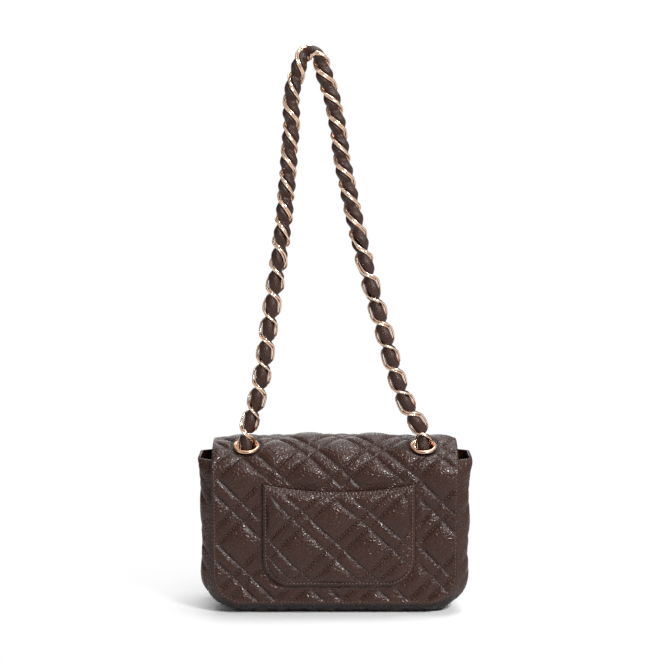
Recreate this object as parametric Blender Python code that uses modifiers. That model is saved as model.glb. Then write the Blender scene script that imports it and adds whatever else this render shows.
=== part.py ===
"""A small quilted flap bag with a chain strap laced with leather.

Metres, +Z up. The back of the bag, with the patch pocket, faces -Y, and the flap falls over the
front, which faces +Y. The bag stands on its base at Z = 0, and the strap stands up over it.
"""

import bisect
import math
from dataclasses import dataclass

import bmesh
import bpy
from mathutils import Matrix, Vector
from mathutils.geometry import interpolate_bezier

# Body
PANEL_HALF_WIDTH = 0.0895
CORNER_RADIUS = 0.022
BACK_DEPTH = 0.0356
FRONT_DEPTH_BASE = 0.0314
FRONT_DEPTH_MOUTH = 0.0254
SHOULDER_HEIGHT = 0.1025
MOUTH_RISE = 0.0055
DOME_RISE = 0.0225
CREST_CROWN = 0.0025
PANEL_THICKNESS = 0.003
CLEARANCE = 0.0003
CUT_OVERRUN = 0.004
MERGE_DISTANCE = 0.00001

# Gusset
GUSSET_RISE = 0.011
GUSSET_BULGE = 0.008
GUSSET_FLARE = 0.003
GUSSET_FLARE_HEIGHT = 0.045
GUSSET_EDGE_RUN = 0.010
GUSSET_THICKNESS = 0.0026
GUSSET_FACING_RUN = 0.022

# Stiffeners and lining
BOARD_THICKNESS = 0.0008
BOARD_MARGIN = 0.012
FLAP_BOARD_MARGIN = 0.003
BASE_BOARD_THICKNESS = 0.0012
LINING_THICKNESS = 0.0008
LINING_EDGE_RADIUS = 0.012
LINING_SIDE_GAP = 0.0017
FACING_THICKNESS = 0.001
FACING_START_TURN = math.radians(8.0)
LINING_RISE_SHARES = (0.0, 0.02, 0.09, 0.20, 0.38, 0.62, 1.0)

# Pockets
POCKET_WIDTH = 0.1114
POCKET_SHIFT = 0.003
POCKET_BOTTOM = 0.022
POCKET_HEIGHT = 0.0755
POCKET_DIP = 0.0055
POCKET_CORNER_RADIUS = 0.021
POCKET_FULLNESS = 0.0048
POCKET_EDGE_RUN = 0.012
POCKET_THICKNESS = 0.0022
POCKET_SIDE_SHARES = (0.35, 0.7, 1.0)
SLIP_WIDTH = 0.110
SLIP_BOTTOM = 0.030
SLIP_HEIGHT = 0.048
SLIP_THICKNESS = 0.0008
SLIP_CORNER_RADIUS = 0.018
SLIP_FULLNESS = 0.0048

# Flap
FLAP_GAP = 0.0026
FLAP_THICKNESS = 0.0026
FLAP_BOTTOM = 0.046
FLAP_CORNER_RADIUS = 0.024
HINGE_TURN = math.radians(78.0)

# Eyelets
EYELET_INSET = 0.025
EYELET_TURN = math.radians(57.5)
EYELET_RADIUS = 0.0099
EYELET_BORE_RADIUS = 0.0067
EYELET_BEAD = 0.0018
EYELET_BARREL_WALL = 0.0008
EYELET_SEAT_DEPTH = 0.0013
WASHER_THICKNESS = 0.0008
WASHER_RADIUS = 0.0092

# Lock
LOCK_HEIGHT = 0.034
LOCK_PLATE_WIDTH = 0.020
LOCK_PLATE_CORNER = 0.005
LOCK_PLATE_THICKNESS = 0.0014
LOCK_PLATE_OVERLAP = 0.011
LOCK_PLATE_BELOW = 0.0135
LOCK_SLOT_WIDTH = 0.0064
LOCK_SLOT_CORNER = 0.0029
LOCK_SLOT_ABOVE = 0.0072
LOCK_SLOT_BELOW = 0.0112
LOCK_BASE_WIDTH = 0.016
LOCK_BASE_HEIGHT = 0.014
LOCK_BASE_CORNER = 0.0035
LOCK_BASE_THICKNESS = 0.001
LOCK_STUD_RADIUS = 0.002
LOCK_RUNNING_GAP = 0.0004
TOGGLE_LENGTH = 0.013
TOGGLE_WIDTH = 0.0046
TOGGLE_THICKNESS = 0.0032
TOGGLE_BEVEL = 0.0006
TOGGLE_BEVEL_STEPS = 2
RETAINER_RADIUS = 0.0042
RETAINER_THICKNESS = 0.001
RIVET_RADIUS = 0.0014
RIVET_HEAD_RADIUS = 0.0022
RIVET_HEAD_HEIGHT = 0.0008
RIVET_CROWN_SHARE = 0.6
RIVET_SPACING = 0.012

# Strap
LINK_COUNT = 33
LINKS_PER_SECTION = 3
STRAP_RISE = 0.276
PIVOT_RISE = 0.0087
PIVOT_SLACK = 0.0003
WIRE_RADIUS = 0.0009
LINK_HALF_WIDTH = 0.0042
LINK_TOUCH = 0.00035
ROLL_START_SHARE = 0.14
ROLL_END_SHARE = 0.36
ROLL_ANGLE = math.radians(-90.0)
LACE_THICKNESS = 0.0013
LACE_KNOT_DEPTH = 0.00112
LACE_BULGE_DEPTH = 0.0052
LACE_KNOT_HALF_WIDTH = 0.0011
LACE_BULGE_HALF_WIDTH = 0.0027
LACE_SWAY = 0.0019
LACE_NARROWING = 6
LACE_BEND_DEPTH = 0.004
SHARP_BEND = math.radians(40.0)
LACE_END_WIDTH = 0.006
LACE_END_TURN = math.radians(45.0)
LACE_START = 0.004
TAB_WIDTH = 0.005
TAB_THICKNESS = 0.0013
TAB_LOOP_RADIUS = 0.0028
TAB_FOLD_TURN = math.radians(225.0)
TAB_LENGTH = 0.030

# Where the strap runs, as shares of half the eyelet spacing across and of the strap's rise
ROUTE_SHARES = (
    (-1.0, 0.0), (-0.868, 0.103), (-0.732, 0.300), (-0.581, 0.547), (-0.490, 0.790), (-0.440, 0.930),
    (-0.267, 1.0), (-0.090, 0.918), (0.105, 0.690), (0.322, 0.465), (0.550, 0.270), (0.806, 0.080),
    (1.0, 0.0),
)

ROUTE_STEPS = 40
LACE_STATIONS = 6
LINK_BEND_STEPS = 4
CORNER_STEPS = 5
GUSSET_CORNER_STEPS = 8
GUSSET_EDGE_STEPS = 3
DOME_STEPS = 12
PANEL_COLUMNS = 6
POCKET_COLUMNS = 12
ROD_SIDES = 20
PIN_SIDES = 16
RIVET_SIDES = 12
EYELET_SIDES = 24

# Derived places
MOUTH_HEIGHT = SHOULDER_HEIGHT + MOUTH_RISE
GUSSET_HEIGHT = SHOULDER_HEIGHT + GUSSET_RISE
EYELET_SPACING = 2 * (PANEL_HALF_WIDTH - EYELET_INSET)
EYELET_DEPTH = (
    PANEL_THICKNESS + FACING_THICKNESS + EYELET_SEAT_DEPTH + 2 * WASHER_THICKNESS + 3 * CLEARANCE)
FLAP_STACK = FLAP_GAP + LINING_THICKNESS + BOARD_THICKNESS + FLAP_THICKNESS + 2 * CLEARANCE
FRONT_LEAN = (FRONT_DEPTH_BASE - FRONT_DEPTH_MOUTH) / (MOUTH_HEIGHT - GUSSET_BULGE)
FRONT_LEAN_ANGLE = math.atan(FRONT_LEAN)
DOME_FRONT = FRONT_DEPTH_BASE - FRONT_LEAN * (SHOULDER_HEIGHT - GUSSET_BULGE) + FLAP_STACK
DOME_HALF_DEPTH = (BACK_DEPTH + DOME_FRONT) / 2
DOME_MID_Y = (DOME_FRONT - BACK_DEPTH) / 2
BOARD_FACE = PANEL_THICKNESS + CLEARANCE
LINING_FACE = BOARD_FACE + BOARD_THICKNESS + CLEARANCE
BASE_BOARD_BOTTOM = GUSSET_THICKNESS + CLEARANCE
LINING_BOTTOM = BASE_BOARD_BOTTOM + BASE_BOARD_THICKNESS + CLEARANCE
LINING_HALF_WIDTH = PANEL_HALF_WIDTH - GUSSET_THICKNESS - LINING_SIDE_GAP
LINING_TOP = SHOULDER_HEIGHT
SEAM_HEIGHT = GUSSET_BULGE


def remove_startup_objects():
    for item in list(bpy.data.objects):
        bpy.data.objects.remove(item, do_unlink=True)


def add_collection(name):
    collection = bpy.data.collections.new(name)
    bpy.context.scene.collection.children.link(collection)
    return collection


def make_material(name, colour, roughness, metallic):
    material = bpy.data.materials.new(name)
    material.use_nodes = True
    shader = material.node_tree.nodes["Principled BSDF"]
    shader.inputs["Base Color"].default_value = (*colour, 1.0)
    shader.inputs["Roughness"].default_value = roughness
    shader.inputs["Metallic"].default_value = metallic
    return material


remove_startup_objects()
PARTS = add_collection("quilted_flap_bag")
CUTTERS = add_collection("cutters")
LEATHER = make_material("brown_leather", (0.050, 0.030, 0.027), 0.42, 0.0)
LINING_CLOTH = make_material("lining_cloth", (0.060, 0.040, 0.036), 0.80, 0.0)
BOARD = make_material("stiffener_board", (0.300, 0.260, 0.210), 0.90, 0.0)
GOLD = make_material("rose_gold_metal", (0.760, 0.480, 0.330), 0.22, 1.0)


def add_part(name, mesh, material):
    part = bpy.data.objects.new(name, mesh)
    PARTS.objects.link(part)
    mesh.materials.clear()
    mesh.materials.append(material)
    return part


def add_cutter(name, mesh):
    cutter = bpy.data.objects.new(name, mesh)
    CUTTERS.objects.link(cutter)
    cutter.hide_render = True
    cutter.display_type = "WIRE"
    return cutter


def use_boolean(part, other, operation):
    boolean = part.modifiers.new(other.name, "BOOLEAN")
    boolean.operation = operation
    boolean.object = other


def mesh_from(name, bm):
    mesh = bpy.data.meshes.new(name)
    bm.to_mesh(mesh)
    bm.free()
    return mesh


def grid_mesh(name, columns, rows, place):
    """A sheet whose corner (column, row) lies at place(column, row)."""
    bm = bmesh.new()
    bmesh.ops.create_grid(bm, x_segments=columns, y_segments=rows, size=1.0)
    for vertex in bm.verts:
        column = round((vertex.co.x + 1) / 2 * columns)
        row = round((vertex.co.y + 1) / 2 * rows)
        vertex.co = place(column, row)
    return mesh_from(name, bm)


def add_wall(part, thickness, offset=-1.0):
    wall = part.modifiers.new("wall", "SOLIDIFY")
    wall.thickness = thickness
    wall.offset = offset
    wall.use_even_offset = True


def box_mesh(name, size, bevel=0.0):
    bm = bmesh.new()
    bmesh.ops.create_cube(bm, size=1.0)
    bmesh.ops.scale(bm, vec=size, verts=bm.verts)
    if bevel:
        bmesh.ops.bevel(
            bm, geom=bm.edges[:], offset=bevel, segments=TOGGLE_BEVEL_STEPS, affect="EDGES", profile=0.5)
    return mesh_from(name, bm)


def rod_mesh(name, radius, length, sides=ROD_SIDES):
    """A rod along Z, centred."""
    bm = bmesh.new()
    bmesh.ops.create_cone(
        bm, cap_ends=True, segments=sides, radius1=radius, radius2=radius, depth=length)
    return mesh_from(name, bm)


def turned_part(name, profile, sides, material):
    """A shape turned about Z from (radius, height) points, closed unless they start on the axis."""
    bm = bmesh.new()
    corners = [bm.verts.new((radius, 0.0, height)) for radius, height in profile]
    ring = corners[:1] if profile[0][0] else []
    for first, second in zip(corners, corners[1:] + ring):
        bm.edges.new((first, second))
    part = add_part(name, mesh_from(name, bm), material)
    screw = part.modifiers.new("turn", "SCREW")
    screw.steps = sides
    screw.render_steps = sides
    screw.merge_threshold = MERGE_DISTANCE
    screw.use_merge_vertices = True
    return part


def outline_solid(name, outlines, thickness, material):
    """Closed flat outlines in the XY plane, extruded by half the thickness to each side."""
    curve = bpy.data.curves.new(name, "CURVE")
    curve.dimensions = "2D"
    curve.fill_mode = "BOTH"
    curve.extrude = thickness / 2
    for outline in outlines:
        spline = curve.splines.new("POLY")
        spline.points.add(len(outline) - 1)
        for point, (across, along) in zip(spline.points, outline):
            point.co = (across, along, 0.0, 1.0)
        spline.use_cyclic_u = True
    mesh = mesh_of_curve(name, curve, Matrix.Identity(4))
    return add_part(name, mesh, material)


def mesh_of_curve(name, curve, place):
    helper = bpy.data.objects.new(name + "_curve", curve)
    CUTTERS.objects.link(helper)
    helper.matrix_world = place
    bpy.context.view_layer.update()
    evaluated = helper.evaluated_get(bpy.context.evaluated_depsgraph_get())
    mesh = bpy.data.meshes.new_from_object(evaluated)
    mesh.transform(place)
    bm = bmesh.new()
    bm.from_mesh(mesh)
    bmesh.ops.remove_doubles(bm, verts=bm.verts, dist=MERGE_DISTANCE)
    bm.to_mesh(mesh)
    bm.free()
    bpy.data.objects.remove(helper, do_unlink=True)
    return mesh


def rounded_outline(half_width, low, high, radius):
    """A rectangle from low to high with round corners."""
    points = []
    for corner, (side, end) in enumerate(((1, low), (1, high), (-1, high), (-1, low))):
        centre_x = side * (half_width - radius)
        centre_y = end + radius if end == low else end - radius
        start = -math.pi / 2 + corner * math.pi / 2
        for step in range(CORNER_STEPS + 1):
            angle = start + math.pi / 2 * step / CORNER_STEPS
            across = centre_x + radius * math.cos(angle)
            points.append((across, centre_y + radius * math.sin(angle)))
    return points


def frame_matrix(origin, outward, sideways=Vector((1.0, 0.0, 0.0))):
    """A frame with Z along outward and X along sideways."""
    z_axis = outward.normalized()
    y_axis = z_axis.cross(sideways).normalized()
    x_axis = y_axis.cross(z_axis)
    rotation = Matrix((x_axis, y_axis, z_axis)).transposed().to_4x4()
    return Matrix.Translation(origin) @ rotation


def corner_rows(bottom, radius, half_width):
    """Heights and half widths up the rounded bottom corners of a panel."""
    rows = []
    for step in range(CORNER_STEPS + 1):
        angle = math.pi / 2 * step / CORNER_STEPS
        height = bottom + radius * (1 - math.cos(angle))
        rows.append((height, half_width - radius * (1 - math.sin(angle))))
    return rows


def front_y(height):
    """Outer face of the front panel."""
    return FRONT_DEPTH_BASE - FRONT_LEAN * (height - SEAM_HEIGHT)


def dome_point(turn, depth, share):
    """A point over the top, depth below the outer face, at a share of the half width."""
    reach = DOME_HALF_DEPTH - depth
    rise = DOME_RISE - depth + CREST_CROWN * (1 - share * share)
    return DOME_MID_Y - reach * math.cos(turn), SHOULDER_HEIGHT + rise * math.sin(turn)


def back_y(height, depth):
    """The back at a height, depth inside its outer face."""
    if height <= SHOULDER_HEIGHT:
        return depth - BACK_DEPTH
    turn = math.asin((height - SHOULDER_HEIGHT) / (DOME_RISE - depth))
    return dome_point(turn, depth, 1.0)[0]


def sheet_part(name, rows, thickness, material):
    """A panel from rows of (place, half width), where place(share) gives (y, z)."""
    def place(column, row):
        share = 2 * column / PANEL_COLUMNS - 1
        line, half_width = rows[row]
        depth, height = line(share)
        return Vector((share * half_width, depth, height))

    part = add_part(name, grid_mesh(name, PANEL_COLUMNS, len(rows) - 1, place), material)
    add_wall(part, thickness)
    return part


def dome_rows(start, end, depth, half_width):
    rows = []
    for step in range(DOME_STEPS + 1):
        turn = start + (end - start) * step / DOME_STEPS
        rows.append((lambda share, turn=turn: dome_point(turn, depth, share), half_width))
    return rows


def flat_row(depth, height):
    return lambda share: (depth, height)


def make_back_panel():
    rows = []
    for height, half_width in corner_rows(SEAM_HEIGHT, CORNER_RADIUS, PANEL_HALF_WIDTH):
        rows.append((flat_row(-BACK_DEPTH, height), half_width))
    rows += dome_rows(0.0, HINGE_TURN, 0.0, PANEL_HALF_WIDTH)
    return sheet_part("back_panel", rows, PANEL_THICKNESS, LEATHER)


def make_back_facing():
    depth = PANEL_THICKNESS + CLEARANCE
    half_width = PANEL_HALF_WIDTH - GUSSET_THICKNESS
    rows = [(flat_row(depth - BACK_DEPTH, LINING_TOP + CLEARANCE), half_width)]
    rows += dome_rows(FACING_START_TURN, HINGE_TURN, depth, half_width)
    return sheet_part("back_facing", rows, FACING_THICKNESS, LEATHER)


def flap_layer(name, depth, thickness, margin, material):
    """One layer of the flap, depth below its outer face and margin inside its edges."""
    half_width = PANEL_HALF_WIDTH - margin
    start = HINGE_TURN + (CLEARANCE + margin) / DOME_HALF_DEPTH
    rows = dome_rows(start, math.pi, depth, half_width)
    drop = corner_rows(FLAP_BOTTOM + margin, FLAP_CORNER_RADIUS - margin, half_width)
    for height, row_half_width in reversed(drop):
        rows.append((flat_row(front_y(height) + FLAP_STACK - depth, height), row_half_width))
    return sheet_part(name, rows, thickness, material)


def make_flap():
    board_depth = FLAP_THICKNESS + CLEARANCE
    lining_depth = board_depth + BOARD_THICKNESS + CLEARANCE
    flap_layer("flap_panel", 0.0, FLAP_THICKNESS, 0.0, LEATHER)
    flap_layer("flap_board", board_depth, BOARD_THICKNESS, FLAP_BOARD_MARGIN, BOARD)
    flap_layer("flap_lining", lining_depth, LINING_THICKNESS, 0.0, LINING_CLOTH)


def make_front_panel():
    rows = [(flat_row(front_y(MOUTH_HEIGHT), MOUTH_HEIGHT), PANEL_HALF_WIDTH)]
    for height, half_width in reversed(corner_rows(SEAM_HEIGHT, CORNER_RADIUS, PANEL_HALF_WIDTH)):
        rows.append((flat_row(front_y(height), height), half_width))
    return sheet_part("front_panel", rows, PANEL_THICKNESS, LEATHER)


def gusset_path():
    """The seam's U, as (x, z, outward x, outward z) from the left top round to the right top."""
    side = PANEL_HALF_WIDTH
    low = SEAM_HEIGHT + CORNER_RADIUS
    flare = GUSSET_FLARE_HEIGHT
    heights = [GUSSET_HEIGHT, GUSSET_HEIGHT - flare / 2, GUSSET_HEIGHT - flare]
    left = [(-side, height, -1.0, 0.0) for height in heights]
    for step in range(GUSSET_CORNER_STEPS + 1):
        angle = math.pi / 2 * step / GUSSET_CORNER_STEPS
        out_x, out_z = -math.cos(angle), -math.sin(angle)
        x = -(side - CORNER_RADIUS) + CORNER_RADIUS * out_x
        left.append((x, low + CORNER_RADIUS * out_z, out_x, out_z))
    right = [(-x, z, -out_x, out_z) for x, z, out_x, out_z in reversed(left)]
    return left + right


def gusset_back(height):
    """Where the gusset meets the back panel, and higher up the facing inside it."""
    depth = PANEL_THICKNESS + CLEARANCE
    if height > SHOULDER_HEIGHT - GUSSET_FACING_RUN:
        depth += FACING_THICKNESS + CLEARANCE
    return back_y(height, depth)


def make_gusset():
    path = gusset_path()
    edge_shares = [step / GUSSET_EDGE_STEPS for step in range(GUSSET_EDGE_STEPS + 1)]
    columns = 2 * GUSSET_EDGE_STEPS + 1

    def place(column, row):
        x, z, out_x, out_z = path[row]
        low = gusset_back(z)
        high = front_y(z) - PANEL_THICKNESS - CLEARANCE
        edge = edge_shares[min(column, columns - column)]
        run = GUSSET_EDGE_RUN * edge
        y = low + run if column <= GUSSET_EDGE_STEPS else high - run
        flare = max(0.0, (z - GUSSET_HEIGHT + GUSSET_FLARE_HEIGHT) / GUSSET_FLARE_HEIGHT)
        swell = GUSSET_BULGE + GUSSET_FLARE * flare ** 2
        out = swell * math.sin(math.pi / 2 * edge)
        return Vector((x + out_x * out, y, z + out_z * out))

    part = add_part("gusset", grid_mesh("gusset", columns, len(path) - 1, place), LEATHER)
    add_wall(part, GUSSET_THICKNESS)


def make_boards():
    base_depth = BACK_DEPTH + FRONT_DEPTH_BASE - 2 * (PANEL_THICKNESS + GUSSET_EDGE_RUN)
    base_size = (2 * (PANEL_HALF_WIDTH - CORNER_RADIUS), base_depth, BASE_BOARD_THICKNESS)
    base = add_part("base_board", box_mesh("base_board", base_size), BOARD)
    base.location = (
        0.0, (FRONT_DEPTH_BASE - BACK_DEPTH) / 2, BASE_BOARD_BOTTOM + BASE_BOARD_THICKNESS / 2)
    half_width = PANEL_HALF_WIDTH - BOARD_MARGIN
    outline = corner_rows(SEAM_HEIGHT + BOARD_MARGIN, CORNER_RADIUS, half_width)
    outline.append((LINING_TOP, half_width))
    back_rows = []
    for height, row_half_width in outline:
        back_rows.append((flat_row(-BACK_DEPTH + BOARD_FACE, height), row_half_width))
    sheet_part("back_board", back_rows, BOARD_THICKNESS, BOARD)
    front_rows = []
    for height, row_half_width in reversed(outline):
        front_rows.append((flat_row(front_y(height) - BOARD_FACE, height), row_half_width))
    sheet_part("front_board", front_rows, BOARD_THICKNESS, BOARD)


def lining_ring(bm, height):
    """One level of the lining: a rectangle with round corners that draws in near the base."""
    rise = height - LINING_BOTTOM
    edge = LINING_EDGE_RADIUS
    side_radius = CORNER_RADIUS
    side_in = side_radius - math.sqrt(max(0.0, side_radius ** 2 - max(0.0, side_radius - rise) ** 2))
    edge_in = edge - math.sqrt(max(0.0, edge ** 2 - max(0.0, edge - rise) ** 2))
    half_width = LINING_HALF_WIDTH - side_in
    low = -BACK_DEPTH + LINING_FACE + edge_in
    high = front_y(height) - LINING_FACE - edge_in
    points = rounded_outline(half_width, low, high, edge)
    return [bm.verts.new((x, y, height)) for x, y in points]


def make_lining():
    bm = bmesh.new()
    heights = [LINING_BOTTOM + CORNER_RADIUS * share for share in LINING_RISE_SHARES]
    heights.append(LINING_TOP)
    rings = [lining_ring(bm, height) for height in heights]
    for lower, upper in zip(rings, rings[1:]):
        for index in range(len(lower)):
            after = (index + 1) % len(lower)
            bm.faces.new((lower[index], lower[after], upper[after], upper[index]))
    bm.faces.new(list(reversed(rings[0])))
    lining = add_part("lining", mesh_from("lining", bm), LINING_CLOTH)
    add_wall(lining, LINING_THICKNESS)
    return lining


@dataclass
class Pocket:
    """A patch sewn round three sides. Its facing is -1 towards the back of the bag and 1 inwards."""

    name: str
    face_y: float
    facing: int
    width: float
    shift: float
    bottom: float
    height: float
    dip: float
    corner_radius: float
    fullness: float

    def sheet(self):
        """The patch as an open sheet, full in the middle, that stands off the face it is sewn to."""
        half_width = self.width / 2
        rows = corner_rows(self.bottom, self.corner_radius, half_width)
        side = self.height - self.corner_radius
        for share in POCKET_SIDE_SHARES:
            rows.append((self.bottom + self.corner_radius + side * share, half_width))

        def place(column, row):
            share = 2 * column / POCKET_COLUMNS - 1
            row_height, row_half_width = rows[row]
            x = share * row_half_width
            rise = row_height - self.bottom
            sunk = self.dip * (1 - share * share) * (rise / self.height) ** 2
            edge = min(half_width - abs(x), row_half_width - abs(x) + rise, rise - sunk)
            lift = self.fullness * math.sin(math.pi / 2 * min(1.0, max(0.0, edge) / POCKET_EDGE_RUN))
            y = self.face_y + self.facing * (CLEARANCE + lift)
            return Vector((self.shift - self.facing * x, y, row_height - sunk))

        return grid_mesh(self.name, POCKET_COLUMNS, len(rows) - 1, place)


def make_pockets():
    back = Pocket(
        "back_pocket", -BACK_DEPTH, -1, POCKET_WIDTH, POCKET_SHIFT, POCKET_BOTTOM, POCKET_HEIGHT,
        POCKET_DIP, POCKET_CORNER_RADIUS, POCKET_FULLNESS)
    add_wall(add_part(back.name, back.sheet(), LEATHER), POCKET_THICKNESS, 1.0)
    slip = Pocket(
        "slip_pocket", -BACK_DEPTH + LINING_FACE + LINING_THICKNESS, 1, SLIP_WIDTH, 0.0, SLIP_BOTTOM,
        SLIP_HEIGHT, 0.0, SLIP_CORNER_RADIUS, SLIP_FULLNESS)
    add_wall(add_part(slip.name, slip.sheet(), LINING_CLOTH), SLIP_THICKNESS, 1.0)


def eyelet_frame(side):
    """The frame of an eyelet, with its origin on the leather's face and Z out of the bag."""
    share = EYELET_SPACING / 2 / PANEL_HALF_WIDTH
    y, z = dome_point(EYELET_TURN, 0.0, share)
    rise = DOME_RISE + CREST_CROWN * (1 - share * share)
    outward = Vector((0.0, -math.cos(EYELET_TURN) / DOME_HALF_DEPTH, math.sin(EYELET_TURN) / rise))
    return frame_matrix(Vector((side * EYELET_SPACING / 2, y, z)), outward)


def make_eyelets(back_panel, back_facing):
    barrel = EYELET_BORE_RADIUS + EYELET_BARREL_WALL
    hole = barrel + CLEARANCE
    seat = CLEARANCE - EYELET_SEAT_DEPTH
    barrel_end = WASHER_THICKNESS - EYELET_DEPTH
    inner_face = barrel_end + CLEARANCE + WASHER_THICKNESS
    for side, label in ((-1, "left"), (1, "right")):
        frame = eyelet_frame(side)
        top = seat + EYELET_BEAD
        middle = (EYELET_BORE_RADIUS + EYELET_RADIUS) / 2
        profile = (
            (EYELET_BORE_RADIUS, barrel_end - WASHER_THICKNESS),
            (EYELET_BORE_RADIUS, top - EYELET_BEAD / 3),
            (middle - EYELET_BEAD / 2, top), (middle + EYELET_BEAD / 2, top),
            (EYELET_RADIUS, top - EYELET_BEAD / 2), (EYELET_RADIUS, seat), (barrel, seat),
            (barrel, barrel_end), (WASHER_RADIUS - EYELET_BARREL_WALL, barrel_end),
            (WASHER_RADIUS - EYELET_BARREL_WALL, barrel_end - WASHER_THICKNESS),
        )
        eyelet = turned_part("eyelet_" + label, profile, EYELET_SIDES, GOLD)
        eyelet.matrix_world = frame
        washer_profile = (
            (hole, inner_face - WASHER_THICKNESS), (hole, inner_face),
            (WASHER_RADIUS, inner_face), (WASHER_RADIUS, inner_face - WASHER_THICKNESS))
        washer = turned_part("eyelet_washer_" + label, washer_profile, EYELET_SIDES, GOLD)
        washer.matrix_world = frame
        bore_mesh = rod_mesh("eyelet_bore", hole, CUT_OVERRUN - 2 * barrel_end)
        bore = add_cutter("eyelet_bore_" + label, bore_mesh)
        bore.matrix_world = frame
        seat_mesh = rod_mesh("eyelet_seat", EYELET_RADIUS + CLEARANCE, CUT_OVERRUN, EYELET_SIDES)
        seat_cut = add_cutter("eyelet_seat_" + label, seat_mesh)
        seat_middle = Vector((0.0, 0.0, CUT_OVERRUN / 2 - EYELET_SEAT_DEPTH))
        seat_cut.matrix_world = frame @ Matrix.Translation(seat_middle)
        use_boolean(back_panel, bore, "DIFFERENCE")
        use_boolean(back_panel, seat_cut, "DIFFERENCE")
        use_boolean(back_facing, bore, "DIFFERENCE")


def lock_frame():
    """The lock's frame, with its origin on the front panel's face, Z outwards and Y up."""
    outward = Vector((0.0, math.cos(FRONT_LEAN_ANGLE), math.sin(FRONT_LEAN_ANGLE)))
    origin = Vector((0.0, front_y(LOCK_HEIGHT), LOCK_HEIGHT))
    return frame_matrix(origin, outward, Vector((-1.0, 0.0, 0.0)))


def make_lock():
    frame = lock_frame()
    flap_face = FLAP_STACK + CLEARANCE
    overlap_low = FLAP_BOTTOM - LOCK_HEIGHT
    plate_outline = rounded_outline(
        LOCK_PLATE_WIDTH / 2, -LOCK_PLATE_BELOW, overlap_low + LOCK_PLATE_OVERLAP, LOCK_PLATE_CORNER)
    slot = rounded_outline(LOCK_SLOT_WIDTH / 2, -LOCK_SLOT_BELOW, LOCK_SLOT_ABOVE, LOCK_SLOT_CORNER)
    plate = outline_solid("lock_plate", (plate_outline, slot), LOCK_PLATE_THICKNESS, GOLD)
    plate.matrix_world = frame @ Matrix.Translation((0.0, 0.0, flap_face + LOCK_PLATE_THICKNESS / 2))

    base_outline = rounded_outline(
        LOCK_BASE_WIDTH / 2, -LOCK_BASE_HEIGHT / 2, LOCK_BASE_HEIGHT / 2, LOCK_BASE_CORNER)
    hole_radius = LOCK_STUD_RADIUS + CLEARANCE
    hole = rounded_outline(hole_radius, -hole_radius, hole_radius, hole_radius)
    base = outline_solid("lock_base", (base_outline, hole), LOCK_BASE_THICKNESS, GOLD)
    base.matrix_world = frame @ Matrix.Translation((0.0, 0.0, CLEARANCE + LOCK_BASE_THICKNESS / 2))

    washer_face = -(LINING_FACE + LINING_THICKNESS + CLEARANCE)
    washer = outline_solid("lock_washer", (base_outline, hole), WASHER_THICKNESS, GOLD)
    washer.matrix_world = frame @ Matrix.Translation((0.0, 0.0, washer_face - WASHER_THICKNESS / 2))

    head_low = flap_face + LOCK_PLATE_THICKNESS + LOCK_RUNNING_GAP
    retainer_top = washer_face - WASHER_THICKNESS - CLEARANCE
    toggle_size = (TOGGLE_WIDTH, TOGGLE_LENGTH, TOGGLE_THICKNESS)
    toggle = add_part("lock_toggle", box_mesh("lock_toggle", toggle_size, TOGGLE_BEVEL), GOLD)
    toggle.matrix_world = frame @ Matrix.Translation((0.0, 0.0, head_low + TOGGLE_THICKNESS / 2))
    stud_top = head_low + TOGGLE_THICKNESS / 2
    stud_low = retainer_top - RETAINER_THICKNESS / 2
    stud_mesh = rod_mesh("toggle_stud", LOCK_STUD_RADIUS, stud_top - stud_low, PIN_SIDES)
    stud = add_cutter("toggle_stud", stud_mesh)
    stud.matrix_world = frame @ Matrix.Translation((0.0, 0.0, (stud_top + stud_low) / 2))
    retainer_mesh = rod_mesh("toggle_retainer", RETAINER_RADIUS, RETAINER_THICKNESS)
    retainer = add_cutter("toggle_retainer", retainer_mesh)
    retainer.matrix_world = frame @ Matrix.Translation((0.0, 0.0, retainer_top - RETAINER_THICKNESS / 2))
    use_boolean(toggle, stud, "UNION")
    use_boolean(toggle, retainer, "UNION")

    bore_mesh = rod_mesh("lock_bore", hole_radius, 2 * (CUT_OVERRUN - retainer_top), PIN_SIDES)
    bore = add_cutter("lock_bore", bore_mesh)
    bore.matrix_world = frame
    return bore


def make_rivets():
    frame = lock_frame()
    height = FLAP_BOTTOM - LOCK_HEIGHT + LOCK_PLATE_OVERLAP / 2
    plate_face = FLAP_STACK + CLEARANCE + LOCK_PLATE_THICKNESS + CLEARANCE
    inner_face = FLAP_GAP - CLEARANCE
    bores = []
    for side, label in ((1, "left"), (-1, "right")):
        place = frame @ Matrix.Translation((side * RIVET_SPACING / 2, height, 0.0))
        profile = (
            (0.0, plate_face + RIVET_HEAD_HEIGHT),
            (RIVET_HEAD_RADIUS * RIVET_CROWN_SHARE, plate_face + RIVET_HEAD_HEIGHT),
            (RIVET_HEAD_RADIUS, plate_face),
            (RIVET_RADIUS, plate_face), (RIVET_RADIUS, inner_face),
            (RIVET_HEAD_RADIUS, inner_face), (RIVET_HEAD_RADIUS, inner_face - RIVET_HEAD_HEIGHT),
            (0.0, inner_face - RIVET_HEAD_HEIGHT))
        rivet = turned_part("lock_rivet_" + label, profile, RIVET_SIDES, GOLD)
        rivet.matrix_world = place
        bore_mesh = rod_mesh(
            "rivet_bore", RIVET_RADIUS + CLEARANCE, 2 * plate_face + CUT_OVERRUN, RIVET_SIDES)
        bore = add_cutter("rivet_bore_" + label, bore_mesh)
        bore.matrix_world = place
        bores.append(bore)
    return bores


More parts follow.
